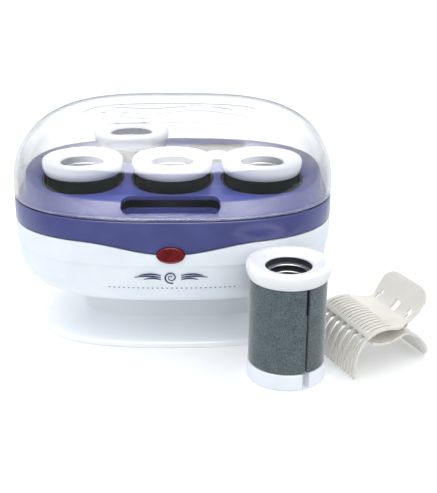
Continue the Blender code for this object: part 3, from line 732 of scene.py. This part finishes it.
def make_wells():
    for name in WELLS:
        low, high = span(f"well_liner_{name}")
        centre = ((low.x + high.x) / 2.0, (low.y + high.y) / 2.0, 0.0)
        outer = (high.x - low.x) / 2.0
        hole = 9.5
        profile = [(hole, low.z), (outer, low.z), (outer, DECK), (outer - 1.1, DECK)]
        profile += [(outer - 1.1, low.z + 1.2), (hole, low.z + 1.2)]
        rings = [circle(radius, z, 96, centre[:2]) for radius, z in rounded(profile, 0.4)]
        rings = [on_deck(ring) if ring[0][2] > DECK - 1.0 else ring for ring in rings]
        liner = object_from(f"liner_{name}", lofted(rings, "loop"))
        dress(liner, "case", DARK, [f"well_liner_{name}"], 30.0)
        low, high = span(f"heat_post_{name}")
        profile = [(6.7, low.z), (9.4, low.z), (9.4, low.z + 1.1), (8.6, low.z + 1.1), (8.2, low.z + 2.2)]
        top = [(8.2, 2.6), (7.6, 1.0), (6.2, 0.0), (2.4, 0.0)]
        top += [(1.8, 0.8), (0.2, 0.8), (0.2, 3.0), (6.7, 3.0)]
        profile += [(radius, high.z - down) for radius, down in top]
        post = object_from(f"post_{name}", turned(rounded(profile, 0.5), 64, "loop", centre))
        dress(post, "case", ALUMINIUM, [f"heat_post_{name}"], 30.0)


def make_lens():
    """A faceted oval lens: rows of small pyramids inside a smooth bezel."""
    sides, steps, bezel, facet_size = 64, 9, 0.95, 1.7
    front = LENS_LOW.y
    rings = [lens_ring(LENS_HIGH.y, LENS_FLANGE, sides)]
    profile = [(4.1, LENS_FLANGE), (4.1, 0.0), (0.4, 0.0), (0.08, -0.25), (0.0, -0.6), (0.25, -bezel)]
    rings += [lens_ring(front + back, grow, sides) for back, grow in profile]
    for step in range(1, steps):
        inward = bezel + (LENS_HALF_Z - bezel) * step / steps
        scale = 1.0 - step / steps
        made = []
        for i in range(sides):
            x = (LENS_HALF_X - inward) * cos(tau * i / sides)
            z = (LENS_HALF_Z - bezel) * scale * sin(tau * i / sides)
            facet = sum(abs(v / facet_size % 1.0 - 0.5) for v in (x + 0.8 * z, z - 0.6 * x))
            made.append((x, front + 0.3 + 0.14 * facet, LENS_Z + z))
        rings.append(made)
    dress(object_from("lens", lofted(rings)), "case", RED, ["indicator_lens"], 12.0)


def make_gland():
    gland = middle("cord_gland")
    profile = [(3.2, 63.0), (5.0, 63.0), (5.0, 69.9), (7.0, 69.9), (6.9, 70.6), (6.3, 71.7), (3.9, 71.7)]
    profile += [(3.2, 71.0)]
    bush = object_from("gland", along_y(turned(rounded(profile, 0.3), 56, "loop"), gland.x, gland.z))
    dress(bush, "case", DARK, ["cord_gland"], 30.0)


def make_pins():
    for name, side in (("left", -1), ("right", 1)):
        profile = [(0.1, -9.2), (1.1, -9.2), (1.5, -8.8), (1.5, 8.8), (1.1, 9.2), (0.1, 9.2)]
        pin = turned(rounded(profile, 0.2, closed=False), 32, "caps")
        rod_piece = object_from(f"hinge_rod_{name}", along_x(pin, HINGE_Y, HINGE_Z, side * HINGE_X))
        dress(rod_piece, "case", STEEL, [f"hinge_pin_{name}"])


# ---- lid


def dome_ring(z_scale, shrink, theta):
    """A ring of the lid's dome: theta runs from the rim to the top."""
    height = (LID_TOP - LID_BOTTOM) * z_scale
    rise = sin(theta) ** (2.0 / 3.0)
    scale = max(cos(theta), 1e-6) ** (2.0 / 3.0)
    power = CASE_POWER + LID_SQUARING * rise**2
    half_x, half_y = (CASE_A - shrink) * scale, (CASE_B - shrink) * scale
    return oval(LID_BOTTOM + height * rise, half_x, half_y, power=power)


def dome_height(x, y):
    """Height of the dome's outside over (x, y)."""
    height = 0.0
    for _ in range(12):
        power = CASE_POWER + LID_SQUARING * height**2
        scale = (abs(x / CASE_A) ** power + abs(y / CASE_B) ** power) ** (1.0 / power)
        height = max(0.0, 1.0 - scale**3) ** (1.0 / 3.0)
    return LID_BOTTOM + (LID_TOP - LID_BOTTOM) * height


def bead(path, closed):
    """A low raised line on the dome, along (x, y) points."""
    width, rise, sides = 3.2, 0.06, 10
    rings = []
    count = len(path)
    for i, (x, y) in enumerate(path):
        before = path[i - 1] if closed or i else path[i]
        after = path[(i + 1) % count] if closed or i < count - 1 else path[i]
        run = Vector((after[0] - before[0], after[1] - before[1])).normalized()
        side = Vector((-run.y, run.x))
        ring = []
        for k in range(sides):
            angle = tau * k / sides
            px, py = x + side.x * width / 2.0 * cos(angle), y + side.y * width / 2.0 * cos(angle)
            ring.append((px, py, dome_height(px, py) + rise * sin(angle)))
        rings.append(ring)
    return lofted(rings, "loop" if closed else "caps")


def relief_lines():
    """A generic raised frame with three waves inside, on the front of the lid's top."""
    middle_x, middle_y = 1.5, -21.0
    frame_line = [(middle_x + x, middle_y + y) for x, y in stadium(116.0, 37.0, 20)]
    middle_line = []
    for (x0, y0), (x1, y1) in zip(frame_line, frame_line[1:] + frame_line[:1]):
        steps = max(1, int(dist((x0, y0), (x1, y1)) / 4.0))
        middle_line += [(x0 + (x1 - x0) * k / steps, y0 + (y1 - y0) * k / steps) for k in range(steps)]
    lines = [bead(middle_line, True)]
    for level in (-10.0, 0.0, 10.0):
        reach = 44.0 - abs(level) * 0.9
        wave = []
        for i in range(41):
            x = -reach + 2.0 * reach * i / 40
            wave.append((middle_x + x, middle_y + level + 3.0 * sin(x / 9.0)))
        lines.append(bead(wave, False))
    return lines


def make_lid():
    height = LID_TOP - LID_BOTTOM
    inner_scale = (height - LID_WALL) / height
    thetas = [0.012, 0.03, 0.06]
    thetas += [0.1 + (1.5698 - 0.1) * i / 46 for i in range(47)]
    thetas += [1.57035]
    outer = [inset_oval(LID_BOTTOM + z, inset) for z, inset in ((0.0, 0.55), (0.08, 0.25), (0.3, 0.06))]
    outer += [dome_ring(1.0, 0.0, theta) for theta in thetas]
    inner = [inset_oval(LID_BOTTOM, LID_WALL - 0.4), inset_oval(LID_BOTTOM + 0.4, LID_WALL)]
    inner += [dome_ring(inner_scale, LID_WALL, theta) for theta in thetas]
    lid = object_from("lid_shell", lofted(inner[::-1] + outer))
    tools = [(JOIN, line) for line in relief_lines()]
    for side in (-1, 1):
        for end in (-1, 1):
            tools.append((JOIN, lid_ear(side * HINGE_X + end * 7.5)))
        tools.append((CUT, hinge_bore(side)))
    carve(lid, tools)
    dress(lid, "lid", CLEAR, ["lid"], 50.0)


def lid_ear(centre):
    """A knuckle of the lid beside a lug."""
    radius = 2.9
    outline = half_circle(radius, -90.0, (HINGE_Y, HINGE_Z))
    outline += [(67.4, HINGE_Z + radius), (67.4, HINGE_Z - 2.6), (HINGE_Y - 2.0, HINGE_Z - radius)]
    return pulled_along_x(outline, centre, 1.5)


# ---- rollers

ROLLER_LENGTH = span("roller_loose_ring")[1].z
RING_RIM = ROLLER_LENGTH - 2.6
RING_HOLE = 13.1
CORE_TOP = RING_RIM - 4.6
CORE_BORE, CORE_MOUTH, CORE_RADIUS = 9.4, 10.8, 12.7
SEATED_SLOT_ANGLE = 60.0
LOOSE_SLOT_ANGLE = -63.5


def ring_shape():
    """A thick ring with a tapering outside and a shallow dish on top."""
    low, top, rim = RING_BOTTOM, ROLLER_LENGTH, RING_RIM
    outer = [
        (RING_HOLE, low + 0.3), (13.4, low), (21.8, low), (22.3, low + 0.25), (23.0, low + 1.8),
        (23.6, low + 3.7),
        (23.95, low + 6.2), (23.85, low + 7.5), (23.2, low + 8.6), (22.4, low + 9.2), (21.4, top),
        (20.0, top - 0.15), (18.0, rim + 1.35), (16.0, rim + 0.75), (14.6, rim + 0.3), (13.8, rim - 0.05),
        (13.3, rim - 0.5), (RING_HOLE, rim - 1.2),
    ]
    return turned(monotone(outer, 2) + [(RING_HOLE, low + 0.8)], 128)


def sleeve_shape():
    """The flocked barrel: an open slot above, and the sheet's overlapping flap below it."""
    low, high = 9.7 + GAP, RING_BOTTOM - GAP
    split = high - 15.5
    below, above = (1.7, 1.0), (3.2, 0.0)  # half the slot in degrees, and how much flap there is
    rows = [(z, *below) for z in (low, low + 0.25, low + 1.0)]
    rows += [(low + 1.0 + (split - 1.4 - low) * i / 12, *below) for i in range(1, 12)]
    rows += [(split - 0.2, *below), (split + 0.2, *above)]
    rows += [(split + 0.2 + (high - 1.0 - split) * i / 5, *above) for i in range(1, 5)]
    rows += [(high - 0.25, *above), (high, *above)]
    count, outside, inside = 168, 21.9, 20.3
    rings = []
    for z, half, flap in rows:
        edge = 0.35 if z in (low, high) else 0.0
        start = radians(half)
        outer, inner = [], []
        for i in range(count + 1):
            angle = start + (tau - 2.0 * start) * i / count
            back = degrees(tau - angle) - half
            radius = outside - edge
            if back < 0.4:
                radius -= 0.12
            elif back < 9.0:
                radius += 0.2 * flap
            elif back < 10.0:
                radius += 0.2 * flap * (10.0 - back)
            outer.append((radius * cos(angle), radius * sin(angle), z))
            inner.append((inside * cos(angle), inside * sin(angle), z))
        rings.append(outer + inner[::-1])
    return lofted(rings)


def core_shape():
    """The metal tube down the middle, with a stepped mouth."""
    step = CORE_TOP - 3.6
    profile = [(CORE_BORE, 0.4), (CORE_RADIUS, 0.4), (CORE_RADIUS, CORE_TOP), (CORE_MOUTH, CORE_TOP)]
    profile += [(CORE_MOUTH, step), (CORE_BORE, step)]
    return turned(rounded(profile, 0.5), 96)


def throat_shape():
    """Painted shade seen down the ring's hole: thin sheets in the ring, in the core's mouth and in its bore.
    """
    bm = bmesh.new()
    top = RING_RIM
    linings = ((13.05, top - 4.5, top - 1.0), (10.75, top - 8.1, top - 4.8), (9.35, 56.0, top - 8.4))
    for radius, low, high in linings:
        profile = [(radius - 0.3, low), (radius, low), (radius, high), (radius - 0.3, high)]
        skin(bm, [circle(r, z, 96) for r, z in profile], "loop")
    return bm


def painted_shade_tube_shape():
    """Painted shade: a dark sheet behind the sleeve's open slot, standing in for the shade there."""
    profile = [(19.3, 10.4), (19.9, 10.4), (19.9, 60.2), (19.3, 60.2)]
    return turned(rounded(profile, 0.1), 96)


def base_shape():
    """The ring at the roller's foot."""
    profile = [(13.0, 0.0), (22.0, 0.0), (22.6, 0.8), (22.6, 9.0), (22.2, 9.7), (13.0, 9.7)]
    return turned(rounded(profile, 0.5), 144)


def base_notch():
    """The gap in the base under the sleeve's slot."""
    corners = [(17.0, -2.6), (25.0, -2.6), (25.0, 1.9), (17.0, 1.9)]
    return pulled(corners, -1.0, 12.0)


def make_rollers():
    shapes = {"ring": ring_shape, "sleeve": sleeve_shape, "core": core_shape, "base": base_shape}
    shapes |= {"throat": throat_shape, "shade": painted_shade_tube_shape}
    slots = {"ring": "white_plastic", "sleeve": "flock", "core": "aluminium", "base": "white_plastic"}
    slots |= {"throat": "flock", "shade": "flock"}
    # The seated set wears painted shade: a darker flock and rings darkened low down. In both sets the throat
    # and shade sheets are painted shade, down the ring's hole and behind the sleeve's slot.
    seated = {"ring": RING_SEATED, "core": ALUMINIUM, "base": WHITE, "sleeve": FLOCK_SEATED_PAINTED_SHADE}
    seated |= {"throat": THROAT_PAINTED_SHADE, "shade": DARK}
    loose = seated | {"ring": RING_WHITE, "sleeve": FLOCK_LOOSE, "throat": DARK}
    for part, shape in shapes.items():
        pattern = object_from(f"pattern_{part}", shape())
        if part == "base":
            carve(pattern, [(CUT, base_notch())])
            soften(pattern, 0.35)
        for name in SEATED + ["loose"]:
            body = f"roller_{name}"
            mesh = pattern.data.copy()
            angle = LOOSE_SLOT_ANGLE if name == "loose" else SEATED_SLOT_ANGLE
            mesh.transform(Matrix.Rotation(radians(angle), 4, "Z"))
            piece = new_object(f"{body}_{part}_skin", mesh)
            low, high = span(f"{body}_base")
            centre = (low + high) / 2.0
            piece.location = Vector((centre.x, centre.y, low.z)) * MM
            replaced = [f"{body}_{part}"] if part in ("ring", "sleeve", "core", "base") else []
            dress(piece, body, (loose if name == "loose" else seated)[part], replaced, 30.0)
        bpy.data.objects.remove(pattern)


# ---- clip

CLIP_TURN = radians(23.6)
CLIP_TIP = (105.2, -96.1)
CLIP_WIDTH = 52.0
PITCH = 3.25
RIB_COUNT = 16
RIB_MARGIN = 0.45
PIN_X, PIN_Z = 38.5, 23.6


def to_clip(bm):
    bmesh.ops.rotate(bm, cent=(0, 0, 0), matrix=Matrix.Rotation(CLIP_TURN, 3, "Z"), verts=bm.verts)
    bmesh.ops.translate(bm, vec=(*CLIP_TIP, 0.0), verts=bm.verts)
    return bm


# Stations along each jaw, from its handle to its tips: distance, height, half width.
UPPER = [
    (51.5, 43.8, 12.0), (50.9, 42.8, 16.2), (50.0, 41.5, 18.5), (47.5, 38.0, 21.2), (44.0, 33.0, 21.2),
    (40.5, 28.9, 20.0), (37.0, 26.9, 20.2), (32.0, 26.6, 23.2), (27.0, 27.5, 25.4), (20.0, 28.6, 25.6),
    (14.5, 28.1, 25.6), (9.5, 26.1, 25.6), (7.0, 24.2, 25.6), (4.2, 20.3, 25.6), (1.9, 15.4, 25.6),
    (0.7, 9.7, 25.6), (0.3, 4.5, 25.6), (0.2, 0.6, 25.6),
]
LOWER = [
    (54.8, 0.9, 16.0), (54.4, 2.9, 18.0), (53.8, 5.0, 19.0), (51.6, 9.6, 19.8), (47.1, 14.9, 19.8),
    (42.0, 18.3, 19.8), (36.5, 20.2, 20.8), (30.0, 20.5, 23.8), (22.8, 19.6, 25.4), (16.7, 19.6, 25.6),
    (12.4, 20.8, 25.6), (8.4, 20.9, 25.6), (5.6, 19.8, 25.6), (2.4, 15.0, 25.6), (0.9, 9.4, 25.6),
    (0.3, 4.5, 25.6), (0.2, 0.5, 25.6),
]


def jaw_sheet(stations, plate_end, first, comb, windows):
    """A jaw's middle surface. comb is the range of X with slots, windows are (x0, x1, y0, y1) holes."""
    rows = monotone(stations, 5)
    lines = [0.0]
    for rib in range(RIB_COUNT):
        lines += [rib * PITCH + RIB_MARGIN, (rib + 1) * PITCH - RIB_MARGIN]
    lines.append(CLIP_WIDTH)
    last = len(lines) - 2
    bm = bmesh.new()
    grid = []
    for x, z, half in rows:
        below = max(0.0, (plate_end - x) / plate_end)
        row = []
        for index, line in enumerate(lines):
            if 0 < index <= last:
                centre = ((index - 1) // 2 + 0.5) * PITCH
                line = centre + (line - centre) * (1.0 - 0.42 * below)
            y = CLIP_WIDTH / 2.0 + (line - CLIP_WIDTH / 2.0) * half * 2.0 / CLIP_WIDTH
            row.append(bm.verts.new((x, y, z)))
        grid.append(row)
    for i, (near, far) in enumerate(zip(grid, grid[1:])):
        x = (rows[i][0] + rows[i + 1][0]) / 2.0
        for j in range(last + 1):
            is_rib = j % 2 == 1
            if x < plate_end:
                wanted = is_rib and (j - 1) // 2 % 2 == first
            else:
                in_comb = not is_rib and comb[0] < x < comb[1] - 1.4 * cos(j * 1.3) ** 2
                wanted = j in (0, last) or not in_comb
                y = (near[j].co.y + near[j + 1].co.y) / 2.0
                for x0, x1, y0, y1 in windows:
                    wanted = wanted and not (x0 < x < x1 and y0 < y < y1)
            if wanted:
                bm.faces.new((near[j], near[j + 1], far[j + 1], far[j]))
    loose = [vertex for vertex in bm.verts if not vertex.link_faces]
    bmesh.ops.delete(bm, geom=loose, context="VERTS")
    return bm


def jaw_ear(y, lean, reach):
    """A pin ear at y. Its stem leans by lean degrees in the clip's own XZ plane."""
    outline = half_circle(2.3, lean + 90.0)
    stem = (reach * cos(radians(lean)), reach * sin(radians(lean)))
    for x, z in (outline[-1], outline[0]):
        outline.append((stem[0] + x, stem[1] + z))
    rings = [[(PIN_X + x, across, PIN_Z + z) for x, z in outline] for across in (y - 1.0, y + 1.0)]
    return to_clip(lofted(rings))


def make_jaw(name, body, node, stations, plate_end, first, comb, windows, ears):
    jaw = object_from(name, to_clip(jaw_sheet(stations, plate_end, first, comb, windows)))
    wall = jaw.modifiers.new("wall", "SOLIDIFY")
    wall.thickness = 1.5 * MM
    wall.offset = 0.0
    wall.use_even_offset = True
    bake_modifiers(jaw)
    tools = [(JOIN, jaw_ear(*ear)) for ear in ears]
    bore = to_clip(along_y(turned([(1.5, 4.0), (1.5, 48.0)], 32, "caps"), PIN_X, PIN_Z))
    tools.append((CUT, bore))
    carve(jaw, tools)
    soften(jaw, 0.3)
    dress(jaw, body, CREAM, [node], 35.0)


def make_clip():
    make_jaw("jaw_upper", "clip_jaw", "clip_upper_jaw", UPPER, 7.6, 0, (9.6, 25.0),
             [(38.6, 43.2, 40.2, 42.4), (38.6, 43.2, 22.0, 26.5), (38.6, 43.2, 9.0, 12.0)],
             [(11.0, 122.0, 3.3), (41.0, 122.0, 3.3)])
    make_jaw("jaw_lower", "clip", "clip_lower_jaw", LOWER, 11.0, 1, (12.0, 20.0), [],
             [(14.0, -110.0, 3.7), (38.0, -110.0, 3.7)])
    profile = [(0.1, 9.3), (0.9, 9.3), (1.2, 9.6), (1.2, 42.4), (0.9, 42.7), (0.1, 42.7)]
    pin = to_clip(along_y(turned(profile, 32, "caps"), PIN_X, PIN_Z))
    dress(object_from("jaw_pin", pin), "clip", STEEL, ["clip_pin"])
    make_spring()


def make_spring():
    """A coil round the pin, as a mesh tube."""
    turns, per_turn, sides = 9, 28, 10
    start, stop, wire = 20.3, 31.7, 0.28
    rings = []
    for i in range(turns * per_turn + 1):
        angle = tau * i / per_turn
        out = Vector((cos(angle), 0.0, sin(angle)))
        y = start + (stop - start) * i / (turns * per_turn)
        centre = Vector((PIN_X, y, PIN_Z)) + out * 1.95
        ring = []
        for k in range(sides):
            a = tau * k / sides
            ring.append(tuple(centre + out * wire * cos(a) + Vector((0, 1, 0)) * wire * sin(a)))
        rings.append(ring)
    spring = object_from("jaw_spring", to_clip(lofted(rings)))
    dress(spring, "clip", STEEL, ["clip_spring"])


# ---- marks


def front_depth(x, z):
    """How far the housing's front stands out at (x, z)."""
    stations = monotone(BOWL, 6)
    heights = [s[0] for s in stations]
    insets = [s[1] for s in stations]
    inset = float(np.interp(z, heights, insets))
    a, b = CASE_A - inset, CASE_B - inset
    return b * (1.0 - (abs(x) / a) ** CASE_POWER) ** (1.0 / CASE_POWER)


def ribbon(bm, path, widths):
    """A thin raised strip of ink along a path of (x, z) points on the housing's front."""
    edges = []
    for i, (x, z) in enumerate(path):
        before, after = path[max(i - 1, 0)], path[min(i + 1, len(path) - 1)]
        run = Vector((after[0] - before[0], after[1] - before[1])).normalized()
        side = Vector((-run.y, run.x)) * widths[i] / 2.0
        corners = []
        for offset in (0.06, -0.1):
            for sign in (-1, 1):
                px, pz = x + sign * side.x, z + sign * side.y
                corners.append((px, -front_depth(px, pz) - offset, pz))
        edges.append([corners[0], corners[1], corners[3], corners[2]])
    skin(bm, edges, "caps")


def make_marks():
    """A generic curl between two tapering strokes, and a dotted line under it."""
    bm = bmesh.new()
    curl_z, steps = 52.5, 60
    curl = []
    for i in range(steps + 1):
        angle = 3.6 * pi * i / steps
        radius = 0.5 + 3.4 * i / steps
        curl.append((radius * cos(angle), curl_z + radius * sin(angle)))
    ribbon(bm, curl, [0.35 + 0.6 * i / steps for i in range(steps + 1)])
    for side in (-1, 1):
        for level, length in ((1.4, 12.5), (0.0, 15.5), (-1.4, 10.0)):
            stroke = []
            for i in range(25):
                t = i / 24
                stroke.append((side * (5.8 + length * t), curl_z + level + 0.9 * sin(pi * t)))
            ribbon(bm, stroke, [0.15 + 0.75 * sin(pi * (0.12 + 0.83 * i / 24)) for i in range(25)])
    for i in range(27):
        x = -36.4 + 2.8 * i
        ribbon(bm, [(x, 45.2), (x + 0.45, 45.2), (x + 0.9, 45.2)], [0.55, 0.75, 0.55])
    marks = object_from("case_marks", bm)
    dress(marks, "case", INK, (), 40.0)


# ---- set


def make_floor():
    """A pale floor that reflections do not see. It reaches from just in front of the set far behind it."""
    size, middle_y, drop = 3.0, 2.7, 0.0002
    bm = bmesh.new()
    bmesh.ops.create_grid(bm, x_segments=4, y_segments=4, size=size / MM)
    floor = object_from("floor", bm)
    floor.location = (0.0, middle_y, -drop)
    material = finish("floor_white", (0.86, 0.87, 0.88), (0.88, 0.89, 0.9), (0.7, 0.8), patch=120.0,
                      grain=4.0, depth=0.002)
    shader = material.node_tree.nodes["Principled BSDF"]
    shader.inputs["Emission Color"].default_value = (1.0, 1.0, 1.0, 1.0)
    shader.inputs["Emission Strength"].default_value = 0.16
    shader.inputs["Specular IOR Level"].default_value = 0.1
    floor.data.materials.append(material)
    floor.visible_glossy = False


def make_world():
    """Soft light from above.

    Reflections and rays through the lid see a softbox in front, a strip over it and a pale wall behind
    instead, and the camera sees plain white.
    """
    box_level, strip_level, camera_level = 7.0, 7.5, 1.25
    world = bpy.data.worlds.new("studio")
    bpy.context.scene.world = world
    world.use_nodes = True
    tree = world.node_tree
    back = tree.nodes["Background"]
    path = added(tree, "LightPath")
    coords = added(tree, "TexCoord").outputs["Generated"]
    parts = added(tree, "SeparateXYZ")
    link(tree, coords, parts.inputs["Vector"])
    up, depth = parts.outputs["Z"], parts.outputs["Y"]

    def product(a, b):
        return combined(tree, "MULTIPLY", a, b)

    facing = spread(tree, depth, 1.0, 0.0, 0.34, 0.54)
    sideways = combined(tree, "ABSOLUTE", parts.outputs["X"])
    box = spread(tree, up, 0.0, 1.0, 0.465, 0.5)
    for value, *limits in (
        (up, 1.0, 0.0, 0.965, 0.972),
        (sideways, 1.0, 0.22, 0.3, 0.62),
        (up, 1.0, 1.25, 0.55, 0.95),
        (depth, 1.0, 0.12, -0.1, 0.2),
    ):
        box = product(box, spread(tree, value, *limits))
    strip = spread(tree, up, 0.0, 1.0, 0.962, 0.972)
    strip = product(strip, spread(tree, depth, 1.0, 0.0, -0.1, 0.1))
    lamps = combined(tree, "ADD", product(box, box_level), product(strip, strip_level))
    walls = spread(tree, depth, 0.24, 1.0, -0.3, 0.05)
    walls = product(walls, spread(tree, up, 0.95, 1.3, -0.02, 0.12))
    shine = combined(tree, "ADD", product(lamps, facing), walls)
    soft = spread(tree, up, 0.52, 1.44, -0.1, 0.9)
    soft = combined(tree, "ADD", soft, spread(tree, up, 0.4, 0.0, -0.14, -0.04))
    mirrored = combined(tree, "MAXIMUM", path.outputs["Is Glossy Ray"], path.outputs["Is Transmission Ray"])
    strength = mixed(tree, path.outputs["Is Camera Ray"], mixed(tree, mirrored, soft, shine), camera_level)
    link(tree, strength, back.inputs["Strength"])
    tint = tinted(tree, spread(tree, up, 0.0, 1.0, -0.1, 0.6), (0.86, 0.93, 1.0), (1.0, 1.0, 1.0))
    link(tree, tint, back.inputs["Color"])


def make_lamp():
    """The key light, up and to the left in front."""
    place, aim = Vector((-0.9, -0.7, 1.3)), Vector((0.0, 0.0, 0.05))
    data = bpy.data.lights.new("key", "AREA")
    data.shape = "SQUARE"
    data.size = 1.4
    data.energy = 2.6
    data.color = (1.0, 0.99, 0.98)
    lamp = new_object("key", data)
    lamp.location = place
    lamp.rotation_euler = (aim - place).to_track_quat("-Z", "Y").to_euler()
    lamp.visible_camera = False
    lamp.visible_glossy = False


def make_camera():
    """The photograph's camera: angles in radians, place in metres."""
    pitch, yaw, roll = 0.3769, 0.0137, 0.004
    place = (0.020043, -0.597892, 0.281358)
    sensor, image_height, focal_length = 36.0, 493.0, 1000.0
    forward = Vector((sin(yaw) * cos(pitch), cos(yaw) * cos(pitch), -sin(pitch)))
    level = Vector((cos(yaw), -sin(yaw), 0.0))
    upright = level.cross(forward)
    right = level * cos(roll) + upright * sin(roll)
    up = upright * cos(roll) - level * sin(roll)
    data = bpy.data.cameras.new("camera")
    data.sensor_width = sensor
    data.lens = sensor * focal_length / image_height
    camera = new_object("camera", data)
    turn = Matrix((right, up, -forward)).transposed().to_4x4()
    camera.matrix_world = Matrix.Translation(place) @ turn
    bpy.context.scene.camera = camera


def main():
    make_foot()
    make_underside()
    make_housing()
    make_tray()
    make_wells()
    make_lens()
    make_gland()
    make_pins()
    make_lid()
    make_rollers()
    make_clip()
    make_marks()
    make_floor()
    make_world()
    make_lamp()
    make_camera()
    bpy.context.scene.view_settings.view_transform = "Standard"
    bpy.context.view_layer.update()


main()
